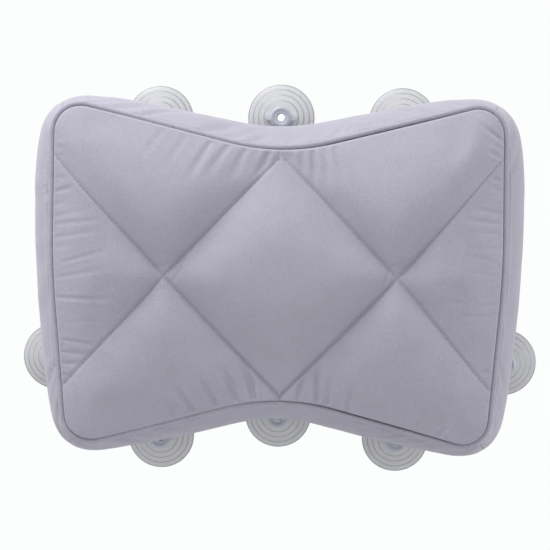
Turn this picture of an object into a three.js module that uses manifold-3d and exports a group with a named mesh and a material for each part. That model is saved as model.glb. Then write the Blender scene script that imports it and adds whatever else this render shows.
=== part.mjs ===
// Bath pillow: a quilted, piped and boxed cushion with a bow-tie outline. Eight clear suction cups, each
// buttoned into a cloth tab on the back, hold it to the wall of the tub.
//
// Millimetres, +Z up. The plane Y = 0 is the wall that the cups stick to, the bather is on the -Y side,
// and the origin is the middle of the pillow on that wall.

import * as THREE from 'three';
import { LoftGeometry } from 'three/addons/geometries/LoftGeometry.js';
import { mergeVertices } from 'three/addons/utils/BufferGeometryUtils.js';
import Module from 'manifold-3d';

const wasm = await Module();
wasm.setup();

// Outline of the front and back panels, as sharp corners that are then rounded
const TOP_HALF_WIDTH = 158;
const SIDE_HALF_WIDTH = 159;
const BOTTOM_HALF_WIDTH = 149;
const TOP_CORNER_Z = 130.5;
const SIDE_Z = 10; // level at which the sides are widest
const BOTTOM_CORNER_Z = -119;
const TOP_WAIST_Z = 91;
const BOTTOM_WAIST_Z = -78.5;
const CORNER_RADIUS = 23;
const SIDE_RADIUS = 600;
const WAIST_RADIUS = 150;

// Boxing, the band of cloth between the two panels, which the filling bulges outwards
const BOXING_DEPTH = 64;
const TOP_BULGE = 15.5;
const SIDE_BULGE = 16.8;
const BOTTOM_BULGE = 15;
const TOP_CORNER_BULGE = 8.8;
const BOTTOM_CORNER_BULGE = 12;
const BULGE_BLEND = 45; // run along the seam over which the bulge grows from a corner's to a side's
const BULGE_FULLNESS = 0.75; // below 1 the band leaves its seams more steeply

// Quilted front
const CROSS_X = 81; // where the two quilting seams cross
const CROSS_Z = 5.2;
const CROWN = 20; // height of the pads over the front seam
const SEAM_SHARE = 0.45; // height of the quilting seams, as a share of the crown
const PAD_ROUNDING = 38; // run over which a pad rises from a quilting seam
const EDGE_ROUNDING = 45; // run over which the front rises from the piping

// Layers and clearances
const CLOTH = 1.5;
const WADDING_AT_SEAM = 0.8; // wadding left where the quilting thread squeezes it
const LINING = 0.8;
const GAP = 0.3;

// Piping
const PIPING_RADIUS = 2.1;
const PIPING_CLOTH = 0.8;
const PIPING_SLIT = 0.45; // half the angle of the sleeve's open side, in radians
const PIPING_SLIT_TURN = -0.75 * Math.PI; // where that side looks, from straight out of the seam

// Back
const BACK_SEAM_Y = -20.5;
const BACK_CROWN = 3;
const BACK_ROUNDING = 15; // run over which the back panel rises to its flat middle

// Tabs
const TAB_LENGTH = 40; // from the sewn root to the middle of the buttonhole
const TAB_WIDTH = 16;
const TAB_CLOTH = 2;
const TAB_FLAT = 9; // flat stretch before the middle of the buttonhole

// Suction cups, all Y measured from the lip's plane on the wall
const CUP_RADIUS = 25;
const LIP_WIDTH = 1.5;
const RIM_THICKNESS = 1;
const TERRACE_RADII = [21, 17, 12.9]; // the stepped rings on the outside of the cup
const TERRACE_STEP = 0.8;
const TERRACE_SLOPE = 0.5; // rise of the cup between two steps
const CUP_HOLLOW = 3.6;
const HOLLOW_FULLNESS = 0.7; // share of the hollow's depth that is left half way to the rim
const NECK_RADIUS = 4.5;
const HEAD_RADIUS = 8.2;
const HEAD_THICKNESS = 4.6;
const HEAD_CHAMFER = 1.5;
const HEAD_BORE_RADIUS = 2.5;
const HEAD_BORE_DEPTH = 8.2;
const LUG_SPAN = 24;
const LUG_HEIGHT = 5.3;
const LUG_THICKNESS = 2.6;

// Places of the cups along the seam, and how far past the seam the middle of each one lies
const TOP_CUP_X = 91;
const TOP_CUP_REACH = 4;
const TOP_WAIST_CUP_REACH = 24;
const SIDE_CUP_Z = -62.7;
const SIDE_CUP_REACH = 16.2;
const BOTTOM_CUP_X = 89;
const BOTTOM_CUP_REACH = 19.4;
const BOTTOM_WAIST_CUP_REACH = 21;

// Fineness of the faceted surfaces
const DIVISIONS = 6; // along each of the ten stretches of the outline
const BOXING_STEPS = 5;
const PIPING_SIDES = 7;
const SLEEVE_INSIDE_SIDES = 5;
const CORD_SIDES = 6;
const CUP_SIDES = 16;
const TAB_STEPS = 6;
const ROUND_END_SIDES = 4; // in half a turn of a tab's or a lug's rounded end
const BUTTONHOLE_SIDES = 8;
const HALVINGS = 50; // steps of the search for a place on the outline

// Depths that follow from the sizes above
const FRONT_SEAM_Y = BACK_SEAM_Y - BOXING_DEPTH;
const BACK_FLAT_Y = BACK_SEAM_Y + BACK_CROWN;
const TAB_ROOT_Y = BACK_FLAT_Y + GAP + TAB_CLOTH / 2;
const CUP_SHOULDER = RIM_THICKNESS + TERRACE_RADII.length * (TERRACE_SLOPE + TERRACE_STEP) + TERRACE_SLOPE;
const LUG_FRONT = CUP_SHOULDER + LUG_THICKNESS;
const TAB_GROOVE = LUG_FRONT + GAP + TAB_CLOTH / 2; // middle of the groove that the tab sits in
const HEAD_BACK = TAB_GROOVE + TAB_CLOTH / 2 + GAP;
const HEAD_FRONT = HEAD_BACK + HEAD_THICKNESS;
const PANEL_INSET = PIPING_RADIUS + GAP;

const pillow = new THREE.Group();
const cloth = new THREE.MeshStandardMaterial({ color: 0xb1aebd, roughness: 0.9, metalness: 0 });
const wadding = new THREE.MeshStandardMaterial({ color: 0xf2f1ee, roughness: 1, metalness: 0 });
const lining = new THREE.MeshStandardMaterial({ color: 0xe4e2e6, roughness: 0.95, metalness: 0 });
const cottonCord = new THREE.MeshStandardMaterial({ color: 0xe9e6df, roughness: 0.95, metalness: 0 });
const clearVinyl = new THREE.MeshStandardMaterial({
  color: 0xd4d5d9, roughness: 0.15, metalness: 0, transparent: true, opacity: 0.45,
});

function addMesh(name, geometry, material, parent = pillow) {
  const mesh = new THREE.Mesh(geometry, material);
  mesh.name = name;
  parent.add(mesh);
  return mesh;
}

// Outline: the right half of the panel's seam, arcs and lines in X and Z, from the top waist to the bottom

function filletArc(before, corner, after, radius) {
  const towardsBefore = before.clone().sub(corner).normalize();
  const towardsAfter = after.clone().sub(corner).normalize();
  const halfAngle = Math.acos(towardsBefore.dot(towardsAfter)) / 2;
  const inwards = towardsBefore.clone().add(towardsAfter).normalize();
  const centre = corner.clone().addScaledVector(inwards, radius / Math.sin(halfAngle));
  const reach = radius / Math.tan(halfAngle);
  const angleTo = (p) => Math.atan2(p.y - centre.y, p.x - centre.x);
  return {
    centre,
    radius,
    start: angleTo(corner.clone().addScaledVector(towardsBefore, reach)),
    middle: angleTo(corner),
    end: angleTo(corner.clone().addScaledVector(towardsAfter, reach)),
    clockwise: towardsBefore.cross(towardsAfter) > 0,
  };
}

function rightHalfOutline() {
  const mirrored = (p) => new THREE.Vector2(-p.x, p.y);
  const topWaist = new THREE.Vector2(0, TOP_WAIST_Z);
  const topCorner = new THREE.Vector2(TOP_HALF_WIDTH, TOP_CORNER_Z);
  const sideMiddle = new THREE.Vector2(SIDE_HALF_WIDTH, SIDE_Z);
  const bottomCorner = new THREE.Vector2(BOTTOM_HALF_WIDTH, BOTTOM_CORNER_Z);
  const bottomWaist = new THREE.Vector2(0, BOTTOM_WAIST_Z);
  const first = filletArc(mirrored(topCorner), topWaist, topCorner, WAIST_RADIUS);
  const between = [
    filletArc(topWaist, topCorner, sideMiddle, CORNER_RADIUS),
    filletArc(topCorner, sideMiddle, bottomCorner, SIDE_RADIUS),
    filletArc(sideMiddle, bottomCorner, bottomWaist, CORNER_RADIUS),
  ];
  const last = filletArc(bottomCorner, bottomWaist, mirrored(bottomCorner), WAIST_RADIUS);
  const path = new THREE.Path();
  const arc = (f, start, end) => path.absarc(f.centre.x, f.centre.y, f.radius, start, end, f.clockwise);
  arc(first, first.middle, first.end);
  between.forEach((f) => arc(f, f.start, f.end));
  arc(last, last.start, last.middle);
  return path;
}

const halfOutline = rightHalfOutline();
const curveEnds = halfOutline.getCurveLengths(); // arcs and lines in turn, with a waist's arc first and last
const halfLength = halfOutline.getLength();
const topCornerArc = [curveEnds[1], curveEnds[2]];
const bottomCornerArc = [curveEnds[5], curveEnds[6]];
const topStretch = [0, topCornerArc[0]];
const sideStretch = [topCornerArc[1], bottomCornerArc[0]];
const bottomStretch = [bottomCornerArc[1], halfLength];
const middleOf = ([from, to]) => (from + to) / 2;

function bulgeAt(length) {
  const grow = (corner, full, run) =>
    THREE.MathUtils.lerp(corner, full, THREE.MathUtils.smoothstep(run, 0, BULGE_BLEND));
  if (length < topCornerArc[0]) return grow(TOP_CORNER_BULGE, TOP_BULGE, topCornerArc[0] - length);
  const pastBottom = length - bottomCornerArc[1];
  if (pastBottom > 0) return grow(BOTTOM_CORNER_BULGE, BOTTOM_BULGE, pastBottom);
  const belowTop = grow(TOP_CORNER_BULGE, SIDE_BULGE, length - topCornerArc[1]);
  const aboveBottom = grow(BOTTOM_CORNER_BULGE, SIDE_BULGE, bottomCornerArc[0] - length);
  return Math.min(belowTop, aboveBottom);
}

const pointAt = (length) => halfOutline.getPoint(THREE.MathUtils.clamp(length / halfLength, 0, 1));

// The length along the half outline, within a stretch, at which a measure of its point passes zero
function lengthWhere(measure, [from, to]) {
  const atStart = measure(pointAt(from));
  let low = from;
  let high = to;
  for (let i = 0; i < HALVINGS; i += 1) {
    const middle = (low + high) / 2;
    const sameSide = measure(pointAt(middle)) * atStart > 0;
    if (sameSide) low = middle;
    else high = middle;
  }
  return (low + high) / 2;
}

// A place on the whole outline: its point, its outward normal and the boxing's bulge there
function stationAt(length) {
  const onLeft = length > halfLength;
  const folded = onLeft ? 2 * halfLength - length : length;
  const point = pointAt(folded);
  const tangent = halfOutline.getTangent(folded / halfLength);
  const side = onLeft ? -1 : 1;
  return {
    point: new THREE.Vector2(side * point.x, point.y),
    normal: new THREE.Vector2(-side * tangent.y, tangent.x),
    bulge: bulgeAt(folded),
  };
}

// Quilting: straight seams from each waist through a crossing to the far side of the panel

const topWaistPoint = pointAt(0);
const bottomWaistPoint = pointAt(halfLength);
const crossing = new THREE.Vector2(CROSS_X, CROSS_Z);
const cornerToCorner = [middleOf(topCornerArc), middleOf(bottomCornerArc)];

function lengthWhereSeamMeetsSide(waistPoint) {
  const along = crossing.clone().sub(waistPoint);
  return lengthWhere((p) => p.clone().sub(waistPoint).cross(along), cornerToCorner);
}

const upperSeamEnd = lengthWhereSeamMeetsSide(bottomWaistPoint);
const lowerSeamEnd = lengthWhereSeamMeetsSide(topWaistPoint);

// Stations round the outline, with the corners' middles and the seams' ends among them
function outlineLengths() {
  const stretches = [
    { from: 0, to: middleOf(topCornerArc), share: (t) => 1 - (1 - t) ** 2 },
    { from: middleOf(topCornerArc), to: upperSeamEnd, share: (t) => t },
    { from: upperSeamEnd, to: lowerSeamEnd, share: (t) => t },
    { from: lowerSeamEnd, to: middleOf(bottomCornerArc), share: (t) => t },
    { from: middleOf(bottomCornerArc), to: halfLength, share: (t) => t ** 2 },
  ];
  const right = stretches.flatMap(({ from, to, share }) =>
    Array.from({ length: DIVISIONS }, (_, i) => THREE.MathUtils.lerp(from, to, share(i / DIVISIONS))));
  const left = right.slice(1).reverse().map((length) => 2 * halfLength - length);
  return [...right, halfLength, ...left];
}

const lengths = outlineLengths();
const stations = lengths.map(stationAt);
const panelRim = stations.map(({ point, normal }) => point.clone().addScaledVector(normal, -PANEL_INSET));

// Heights of the quilted front over the plane of the front seam

function distanceToSegment(p, a, b) {
  const run = b.clone().sub(a);
  const share = THREE.MathUtils.clamp(p.clone().sub(a).dot(run) / run.lengthSq(), 0, 1);
  return p.distanceTo(a.clone().addScaledVector(run, share));
}

const quarterRound = (distance, run) => Math.sqrt(1 - (1 - Math.min(distance / run, 1)) ** 2);
const mirrorX = (p) => new THREE.Vector2(-p.x, p.y);
const upperSeamPoint = stationAt(upperSeamEnd).point;
const lowerSeamPoint = stationAt(lowerSeamEnd).point;
const quiltSeams = [
  [topWaistPoint, lowerSeamPoint],
  [topWaistPoint, mirrorX(lowerSeamPoint)],
  [bottomWaistPoint, upperSeamPoint],
  [bottomWaistPoint, mirrorX(upperSeamPoint)],
];

function edgeRise(p) {
  const toRim = panelRim.map((a, i) => distanceToSegment(p, a, panelRim[(i + 1) % panelRim.length]));
  return quarterRound(Math.min(...toRim), EDGE_ROUNDING);
}

const seamHeight = (p) => CROWN * SEAM_SHARE * edgeRise(p);

function padHeight(p) {
  const toSeam = Math.min(...quiltSeams.map(([a, b]) => distanceToSegment(p, a, b)));
  const share = SEAM_SHARE + (1 - SEAM_SHARE) * quarterRound(toSeam, PAD_ROUNDING);
  return CROWN * edgeRise(p) * share;
}

// Each layer of the front as its height towards the bather
const panelInside = (p) => padHeight(p) - CLOTH;
const waddingOutside = (p) => panelInside(p) - GAP;
const waddingInside = (p) => seamHeight(p) - CLOTH - GAP - WADDING_AT_SEAM;
const liningOutside = (p) => waddingInside(p) - GAP;
const liningInside = (p) => liningOutside(p) - LINING;
const coreOutside = (p) => liningInside(p) - GAP;

// A net of triangles over the panel, whose edges follow the quilting: a diamond, four corners, two sides

function patchPoints(bottom, top, left, right) {
  const n = DIVISIONS;
  const blend = (i, j) => {
    const u = i / n;
    const v = j / n;
    const across = bottom[i].clone().lerp(top[i], v);
    const along = left[j].clone().lerp(right[j], u);
    const flat = bottom[0].clone().lerp(bottom[n], u).lerp(top[0].clone().lerp(top[n], u), v);
    return across.add(along).sub(flat);
  };
  const exact = (i, j) => {
    if (j === 0) return bottom[i];
    if (j === n) return top[i];
    if (i === 0) return left[j];
    return i === n ? right[j] : blend(i, j);
  };
  return Array.from({ length: n + 1 }, (_, i) => Array.from({ length: n + 1 }, (_, j) => exact(i, j)));
}

function quiltTriangles(rim) {
  const n = DIVISIONS;
  const run = (from, to) => Array.from({ length: n + 1 }, (_, i) => from.clone().lerp(to, i / n));
  const rimRun = (from, to) => Array.from({ length: n + 1 }, (_, i) =>
    rim[(from + Math.sign(to - from) * i) % rim.length]);
  const top = rim[0];
  const bottom = rim[5 * n];
  const sides = [
    { cross: crossing, top: 0, step: n },
    { cross: mirrorX(crossing), top: 10 * n, step: -n },
  ].map(({ cross, top: first, step }) => ({
    cross,
    top: first,
    corner: first + step,
    upper: first + 2 * step,
    lower: first + 3 * step,
    foot: first + 4 * step,
    bottom: first + 5 * step,
  }));
  const patches = sides.flatMap((s) => {
    const toUpper = run(s.cross, rim[s.upper]);
    const toLower = run(s.cross, rim[s.lower]);
    const still = run(s.cross, s.cross);
    return [
      patchPoints(toUpper, rimRun(s.top, s.corner), run(s.cross, top), rimRun(s.upper, s.corner)),
      patchPoints(toLower, rimRun(s.bottom, s.foot), run(s.cross, bottom), rimRun(s.lower, s.foot)),
      patchPoints(toUpper, toLower, still, rimRun(s.upper, s.lower)),
    ];
  });
  const [right, left] = sides.map((s) => s.cross);
  patches.push(patchPoints(run(right, top), run(bottom, left), run(right, bottom), run(top, left)));
  const triangles = [];
  const add = (a, b, c) => {
    const area = b.clone().sub(a).cross(c.clone().sub(a));
    if (Math.abs(area) > 1e-6) triangles.push(area > 0 ? [a, b, c] : [a, c, b]);
  };
  for (const grid of patches) {
    for (let i = 0; i < n; i += 1) {
      for (let j = 0; j < n; j += 1) {
        add(grid[i][j], grid[i + 1][j], grid[i + 1][j + 1]);
        add(grid[i][j], grid[i + 1][j + 1], grid[i][j + 1]);
      }
    }
  }
  return triangles;
}

function geometryFromTriangles(triangles) {
  const positions = new Float32Array(triangles.flat().flatMap((p) => [p.x, p.y, p.z]));
  const geometry = new THREE.BufferGeometry();
  geometry.setAttribute('position', new THREE.BufferAttribute(positions, 3));
  return geometry;
}

const inFront = (height) => (p) => new THREE.Vector3(p.x, FRONT_SEAM_Y - height(p), p.y);

// Triangles between two rings of the same stations, the first one nearer to the bather
function bandTriangles(front, back) {
  return front.flatMap((p, i) => {
    const j = (i + 1) % front.length;
    return [[p, front[j], back[i]], [front[j], back[j], back[i]]];
  });
}

const bandsThrough = (rings) => rings.slice(1).flatMap((ring, i) => bandTriangles(rings[i], ring));

// A quilted layer: the front surface, the surface behind it and the edge between them
function layerGeometry(outside, inside) {
  const net = quiltTriangles(panelRim);
  const front = net.map((t) => t.map(inFront(outside)));
  const back = net.map(([a, b, c]) => [a, c, b].map(inFront(inside)));
  const edge = bandTriangles(panelRim.map(inFront(outside)), panelRim.map(inFront(inside)));
  return geometryFromTriangles([...front, ...back, ...edge]);
}

// Boxing: how far the band stands out of the seam line, and the rings that it and the filling follow

const boxingFront = FRONT_SEAM_Y + PIPING_RADIUS + GAP;
const boxingBack = BACK_SEAM_Y - CLOTH - GAP;
const boxingDepths = Array.from({ length: BOXING_STEPS + 1 }, (_, i) =>
  THREE.MathUtils.lerp(boxingFront, boxingBack, i / BOXING_STEPS));

function bulgeOut(station, y) {
  const share = (y - FRONT_SEAM_Y) / BOXING_DEPTH;
  return station.bulge * Math.sin(Math.PI * share) ** BULGE_FULLNESS;
}

const offsetPoint = (station, offset, y) => new THREE.Vector3(
  station.point.x + station.normal.x * offset, y, station.point.y + station.normal.y * offset);

function boxingSection(station) {
  const outside = boxingDepths.map((y) => offsetPoint(station, bulgeOut(station, y), y));
  const inside = boxingDepths.map((y) => offsetPoint(station, bulgeOut(station, y) - CLOTH, y));
  return [...inside, ...outside.reverse()];
}

// One strip of boxing, from the seam at one corner to the seam at the next
function boxingGeometry(from, to) {
  const start = from + GAP / 2;
  const end = to - GAP / 2;
  const between = lengths.flatMap((l) => [l, l + 2 * halfLength]).filter((l) => l > start + 1 && l < end - 1);
  const along = [start, ...between.sort((a, b) => a - b), end];
  const sections = along.map((l) => boxingSection(stationAt(l % (2 * halfLength))));
  return new LoftGeometry(sections, { capStart: true, capEnd: true });
}

// Filling: a fibre core that the lining, the boxing and the back panel enclose
function coreGeometry() {
  const behindCloth = CLOTH + GAP;
  const front = panelRim.map(inFront(coreOutside));
  const sideRings = boxingDepths.slice(1, -1).map((y) =>
    stations.map((s) => offsetPoint(s, bulgeOut(s, y) - behindCloth, y)));
  const backRings = backRingSizes().map(({ inset, y }) =>
    stations.map((s) => offsetPoint(s, -Math.max(inset, behindCloth), y - behindCloth)));
  const rings = [front, ...sideRings, ...backRings];
  const net = quiltTriangles(panelRim).map((t) => t.map(inFront(coreOutside)));
  return geometryFromTriangles([...net, ...bandsThrough(rings), ...flatCap(rings.at(-1))]);
}

function flatCap(ring) {
  const outline = ring.map((p) => new THREE.Vector2(p.x, p.z));
  return THREE.ShapeUtils.triangulateShape(outline, []).map((face) => {
    const [a, b, c] = face.map((i) => ring[i]);
    const area = (b.x - a.x) * (c.z - a.z) - (b.z - a.z) * (c.x - a.x);
    return area < 0 ? [a, b, c] : [a, c, b];
  });
}

// Back panel: a shallow tray of cloth that rises from its seam to a flat middle

function backRingSizes() {
  return [0, 1 / 3, 1].map((share) => ({
    inset: share * BACK_ROUNDING,
    y: BACK_SEAM_Y + BACK_CROWN * (1 - (1 - share) ** 2),
  }));
}

function backPanelGeometry() {
  const rings = backRingSizes();
  const ringAt = ({ inset, y }) => stations.map((s) => offsetPoint(s, -inset, y));
  const inside = rings.map(({ inset, y }) => ringAt({ inset, y: y - CLOTH })).reverse();
  const outside = rings.map(ringAt);
  const frontCap = flatCap(inside[0]).map(([a, b, c]) => [a, c, b]);
  const bands = bandsThrough([...inside, ...outside]);
  return geometryFromTriangles([...frontCap, ...bands, ...flatCap(outside.at(-1))]);
}

// Piping: a cloth sleeve, open towards the seam allowance, round a cord

function ringRoundSeam(station, points) {
  return points.map(([out, forward]) => offsetPoint(station, out, FRONT_SEAM_Y - forward));
}

const circlePoint = (radius, angle) => [radius * Math.cos(angle), radius * Math.sin(angle)];

function loopGeometry(points) {
  const sections = stations.map((s) => ringRoundSeam(s, points));
  return new LoftGeometry([...sections, sections[0]]);
}

function pipingCoverGeometry() {
  const arc = (radius, steps) => Array.from({ length: steps + 1 }, (_, i) => circlePoint(radius,
    PIPING_SLIT_TURN + THREE.MathUtils.lerp(PIPING_SLIT, 2 * Math.PI - PIPING_SLIT, i / steps)));
  const outside = arc(PIPING_RADIUS, PIPING_SIDES);
  const inside = arc(PIPING_RADIUS - PIPING_CLOTH, SLEEVE_INSIDE_SIDES);
  return loopGeometry([...outside, ...inside.reverse()]);
}

function pipingCordGeometry() {
  const radius = (PIPING_RADIUS - PIPING_CLOTH) * Math.cos(Math.PI / CORD_SIDES) - GAP / 2;
  const angle = (i) => (2 * Math.PI * i) / CORD_SIDES;
  return loopGeometry(Array.from({ length: CORD_SIDES }, (_, i) => circlePoint(radius, angle(i))));
}

// Solids that are joined or cut

function solidOf(geometry) {
  const bare = geometry.index ? geometry.toNonIndexed() : geometry.clone();
  bare.deleteAttribute('normal');
  bare.deleteAttribute('uv');
  const merged = mergeVertices(bare, 1e-4);
  return new wasm.Manifold(new wasm.Mesh({
    numProp: 3,
    vertProperties: merged.attributes.position.array,
    triVerts: new Uint32Array(merged.index.array),
  }));
}

function geometryOf(solid) {
  const { vertProperties, triVerts } = solid.getMesh();
  const geometry = new THREE.BufferGeometry();
  geometry.setAttribute('position', new THREE.BufferAttribute(vertProperties, 3));
  geometry.setIndex(new THREE.BufferAttribute(triVerts, 1));
  return geometry;
}

// Tab: a doubled strip of cloth that points up Z from its root on the X axis, and steps back to the groove

function tabSideShape() {
  const rise = -TAB_GROOVE - TAB_ROOT_Y;
  const flatFrom = TAB_LENGTH - TAB_FLAT;
  const tip = TAB_LENGTH + TAB_WIDTH / 2;
  const sloping = Array.from({ length: TAB_STEPS + 1 }, (_, i) => {
    const t = i / TAB_STEPS;
    return new THREE.Vector2(t * flatFrom, rise * THREE.MathUtils.smoothstep(t, 0, 1));
  });
  const middle = [...sloping, new THREE.Vector2(tip, rise)];
  const direction = (i) => middle[Math.min(i + 1, middle.length - 1)].clone()
    .sub(middle[Math.max(i - 1, 0)]).normalize();
  const offset = (sign) => middle.map((p, i) => {
    const d = i === 0 ? new THREE.Vector2(1, 0) : direction(i);
    return p.clone().add(new THREE.Vector2(-d.y, d.x).multiplyScalar((sign * TAB_CLOTH) / 2));
  });
  const shape = new THREE.Shape(offset(-1));
  offset(1).reverse().forEach((p) => shape.lineTo(p.x, p.y));
  shape.absarc(0, 0, TAB_CLOTH / 2, Math.PI / 2, 1.5 * Math.PI, false);
  return shape;
}

function tabPlanShape() {
  const half = TAB_WIDTH / 2;
  const shape = new THREE.Shape();
  shape.moveTo(-half, -TAB_CLOTH);
  shape.lineTo(half, -TAB_CLOTH);
  shape.absarc(0, TAB_LENGTH, half, 0, Math.PI, false);
  shape.holes.push(new THREE.Path().absarc(0, TAB_LENGTH, NECK_RADIUS + GAP, 0, 2 * Math.PI, true));
  return shape;
}

function tabGeometry() {
  const width = 2 * TAB_WIDTH;
  const sideways = { depth: width, bevelEnabled: false, curveSegments: ROUND_END_SIDES };
  const side = new THREE.ExtrudeGeometry(tabSideShape(), sideways);
  side.translate(0, 0, -width / 2);
  const sideAxes = [new THREE.Vector3(0, 0, 1), new THREE.Vector3(0, 1, 0), new THREE.Vector3(-1, 0, 0)];
  side.applyMatrix4(new THREE.Matrix4().makeBasis(...sideAxes));
  const depth = 4 * TAB_CLOTH - 2 * TAB_ROOT_Y;
  const through = { depth, bevelEnabled: false, curveSegments: BUTTONHOLE_SIDES };
  const plan = new THREE.ExtrudeGeometry(tabPlanShape(), through);
  plan.translate(0, 0, -depth / 2);
  plan.rotateX(Math.PI / 2);
  return geometryOf(solidOf(side).intersect(solidOf(plan)));
}

// Suction cup: a stepped dish, a neck with two lugs and a bored head, turned about Y with its lip at Y = 0

function cupProfile() {
  const points = [[0, CUP_HOLLOW], [CUP_RADIUS / 2, CUP_HOLLOW * HOLLOW_FULLNESS]];
  points.push([CUP_RADIUS - LIP_WIDTH, 0], [CUP_RADIUS, 0], [CUP_RADIUS, RIM_THICKNESS]);
  let depth = RIM_THICKNESS;
  for (const radius of TERRACE_RADII) {
    depth += TERRACE_SLOPE;
    points.push([radius, depth]);
    depth += TERRACE_STEP;
    points.push([radius, depth]);
  }
  points.push([NECK_RADIUS, CUP_SHOULDER], [NECK_RADIUS, HEAD_BACK], [HEAD_RADIUS, HEAD_BACK]);
  points.push([HEAD_RADIUS, HEAD_FRONT - HEAD_CHAMFER], [HEAD_RADIUS - HEAD_CHAMFER, HEAD_FRONT]);
  points.push([HEAD_BORE_RADIUS, HEAD_FRONT], [HEAD_BORE_RADIUS, HEAD_FRONT - HEAD_BORE_DEPTH]);
  points.push([0, HEAD_FRONT - HEAD_BORE_DEPTH]);
  return points.map(([radius, forward]) => new THREE.Vector2(radius, -forward)).reverse();
}

function lugGeometry() {
  const end = LUG_HEIGHT / 2;
  const reach = LUG_SPAN / 2 - end;
  const shape = new THREE.Shape();
  shape.absarc(reach, 0, end, -Math.PI / 2, Math.PI / 2, false);
  shape.absarc(-reach, 0, end, Math.PI / 2, 1.5 * Math.PI, false);
  const depth = LUG_THICKNESS + TERRACE_SLOPE;
  const upright = { depth, bevelEnabled: false, curveSegments: ROUND_END_SIDES };
  const geometry = new THREE.ExtrudeGeometry(shape, upright);
  return geometry.rotateX(Math.PI / 2).translate(0, depth - LUG_FRONT, 0);
}

function cupGeometry() {
  const turned = new THREE.LatheGeometry(cupProfile(), CUP_SIDES);
  return geometryOf(solidOf(turned).add(solidOf(lugGeometry())));
}

// The cushion
addMesh('front_panel', layerGeometry(padHeight, panelInside), cloth);
addMesh('quilt_wadding', layerGeometry(waddingOutside, waddingInside), wadding);
addMesh('quilt_lining', layerGeometry(liningOutside, liningInside), lining);
addMesh('fibre_core', coreGeometry(), wadding);
addMesh('back_panel', backPanelGeometry(), cloth);
addMesh('piping_cover', pipingCoverGeometry(), cloth);
addMesh('piping_cord', pipingCordGeometry(), cottonCord);

// The four strips of boxing, sewn to each other at the corners
const cornerSeams = [
  middleOf(topCornerArc),
  middleOf(bottomCornerArc),
  2 * halfLength - middleOf(bottomCornerArc),
  2 * halfLength - middleOf(topCornerArc),
];
['right', 'bottom', 'left', 'top'].forEach((place, i) => {
  const to = i < 3 ? cornerSeams[i + 1] : cornerSeams[0] + 2 * halfLength;
  addMesh(`boxing_${place}`, boxingGeometry(cornerSeams[i], to), cloth);
});

// The tabs and their cups, with the turn of each tab about Y from pointing up
const seamPointAt = (axis, value, stretch) =>
  pointAt(lengthWhere((p) => p[axis] - value, stretch));
const topCupZ = seamPointAt('x', TOP_CUP_X, topStretch).y + TOP_CUP_REACH;
const sideCupX = seamPointAt('y', SIDE_CUP_Z, sideStretch).x + SIDE_CUP_REACH;
const bottomCupZ = seamPointAt('x', BOTTOM_CUP_X, bottomStretch).y - BOTTOM_CUP_REACH;
const UP = 0;
const RIGHT = Math.PI / 2;
const DOWN = Math.PI;
const cups = [
  { place: 'top_left', x: -TOP_CUP_X, z: topCupZ, turn: UP },
  { place: 'top_middle', x: 0, z: topWaistPoint.y + TOP_WAIST_CUP_REACH, turn: UP },
  { place: 'top_right', x: TOP_CUP_X, z: topCupZ, turn: UP },
  { place: 'right', x: sideCupX, z: SIDE_CUP_Z, turn: RIGHT },
  { place: 'bottom_right', x: BOTTOM_CUP_X, z: bottomCupZ, turn: DOWN },
  { place: 'bottom_middle', x: 0, z: bottomWaistPoint.y - BOTTOM_WAIST_CUP_REACH, turn: DOWN },
  { place: 'bottom_left', x: -BOTTOM_CUP_X, z: bottomCupZ, turn: DOWN },
  { place: 'left', x: -sideCupX, z: SIDE_CUP_Z, turn: -RIGHT },
];
for (const { place, x, z, turn } of cups) {
  const tab = new THREE.Group();
  tab.position.set(x - TAB_LENGTH * Math.sin(turn), TAB_ROOT_Y, z - TAB_LENGTH * Math.cos(turn));
  tab.rotation.y = turn;
  pillow.add(tab);
  addMesh(`cup_tab_${place}`, tabGeometry(), cloth, tab);
  addMesh(`suction_cup_${place}`, cupGeometry(), clearVinyl, tab).position.set(0, -TAB_ROOT_Y, TAB_LENGTH);
}

export default pillow;
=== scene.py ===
import math

import bmesh
import bpy
import numpy as np
from mathutils import Matrix, Vector


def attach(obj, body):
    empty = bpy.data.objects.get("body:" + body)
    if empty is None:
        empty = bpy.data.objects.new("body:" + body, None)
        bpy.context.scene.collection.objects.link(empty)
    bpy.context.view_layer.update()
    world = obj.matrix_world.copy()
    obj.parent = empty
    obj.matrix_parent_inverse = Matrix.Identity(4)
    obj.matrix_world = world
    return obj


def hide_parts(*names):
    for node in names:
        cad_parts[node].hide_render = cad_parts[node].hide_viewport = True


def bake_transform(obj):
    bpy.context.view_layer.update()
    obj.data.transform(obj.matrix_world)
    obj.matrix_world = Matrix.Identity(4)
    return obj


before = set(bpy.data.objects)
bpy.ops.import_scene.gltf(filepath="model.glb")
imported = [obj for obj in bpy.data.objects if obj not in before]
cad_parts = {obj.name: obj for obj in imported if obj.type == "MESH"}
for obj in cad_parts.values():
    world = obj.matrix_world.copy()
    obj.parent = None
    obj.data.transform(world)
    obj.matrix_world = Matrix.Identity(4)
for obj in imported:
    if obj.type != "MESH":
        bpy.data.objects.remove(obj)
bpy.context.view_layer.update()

MM = 0.001

# Panel outline, as sharp corners in X and Z that are then rounded
TOP_WAIST = np.array((0.0, 91.0)) * MM
TOP_CORNER = np.array((157.6, 130.0)) * MM
SIDE_MIDDLE = np.array((159.0, 10.0)) * MM
BOTTOM_CORNER = np.array((148.6, -118.3)) * MM
BOTTOM_WAIST = np.array((0.0, -78.5)) * MM
CORNER_RADIUS = 20.0 * MM
SIDE_RADIUS = 600.0 * MM
WAIST_RADIUS = 150.0 * MM

# Boxing
FRONT_SEAM_Y = -84.5 * MM
BACK_SEAM_Y = -20.5 * MM
BULGE_FULLNESS = 0.95
BOXING_CLOTH = 1.2 * MM
BOXING_TUCK = 2.0 * MM
BULGE_SMOOTHING = 6.0 * MM

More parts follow.
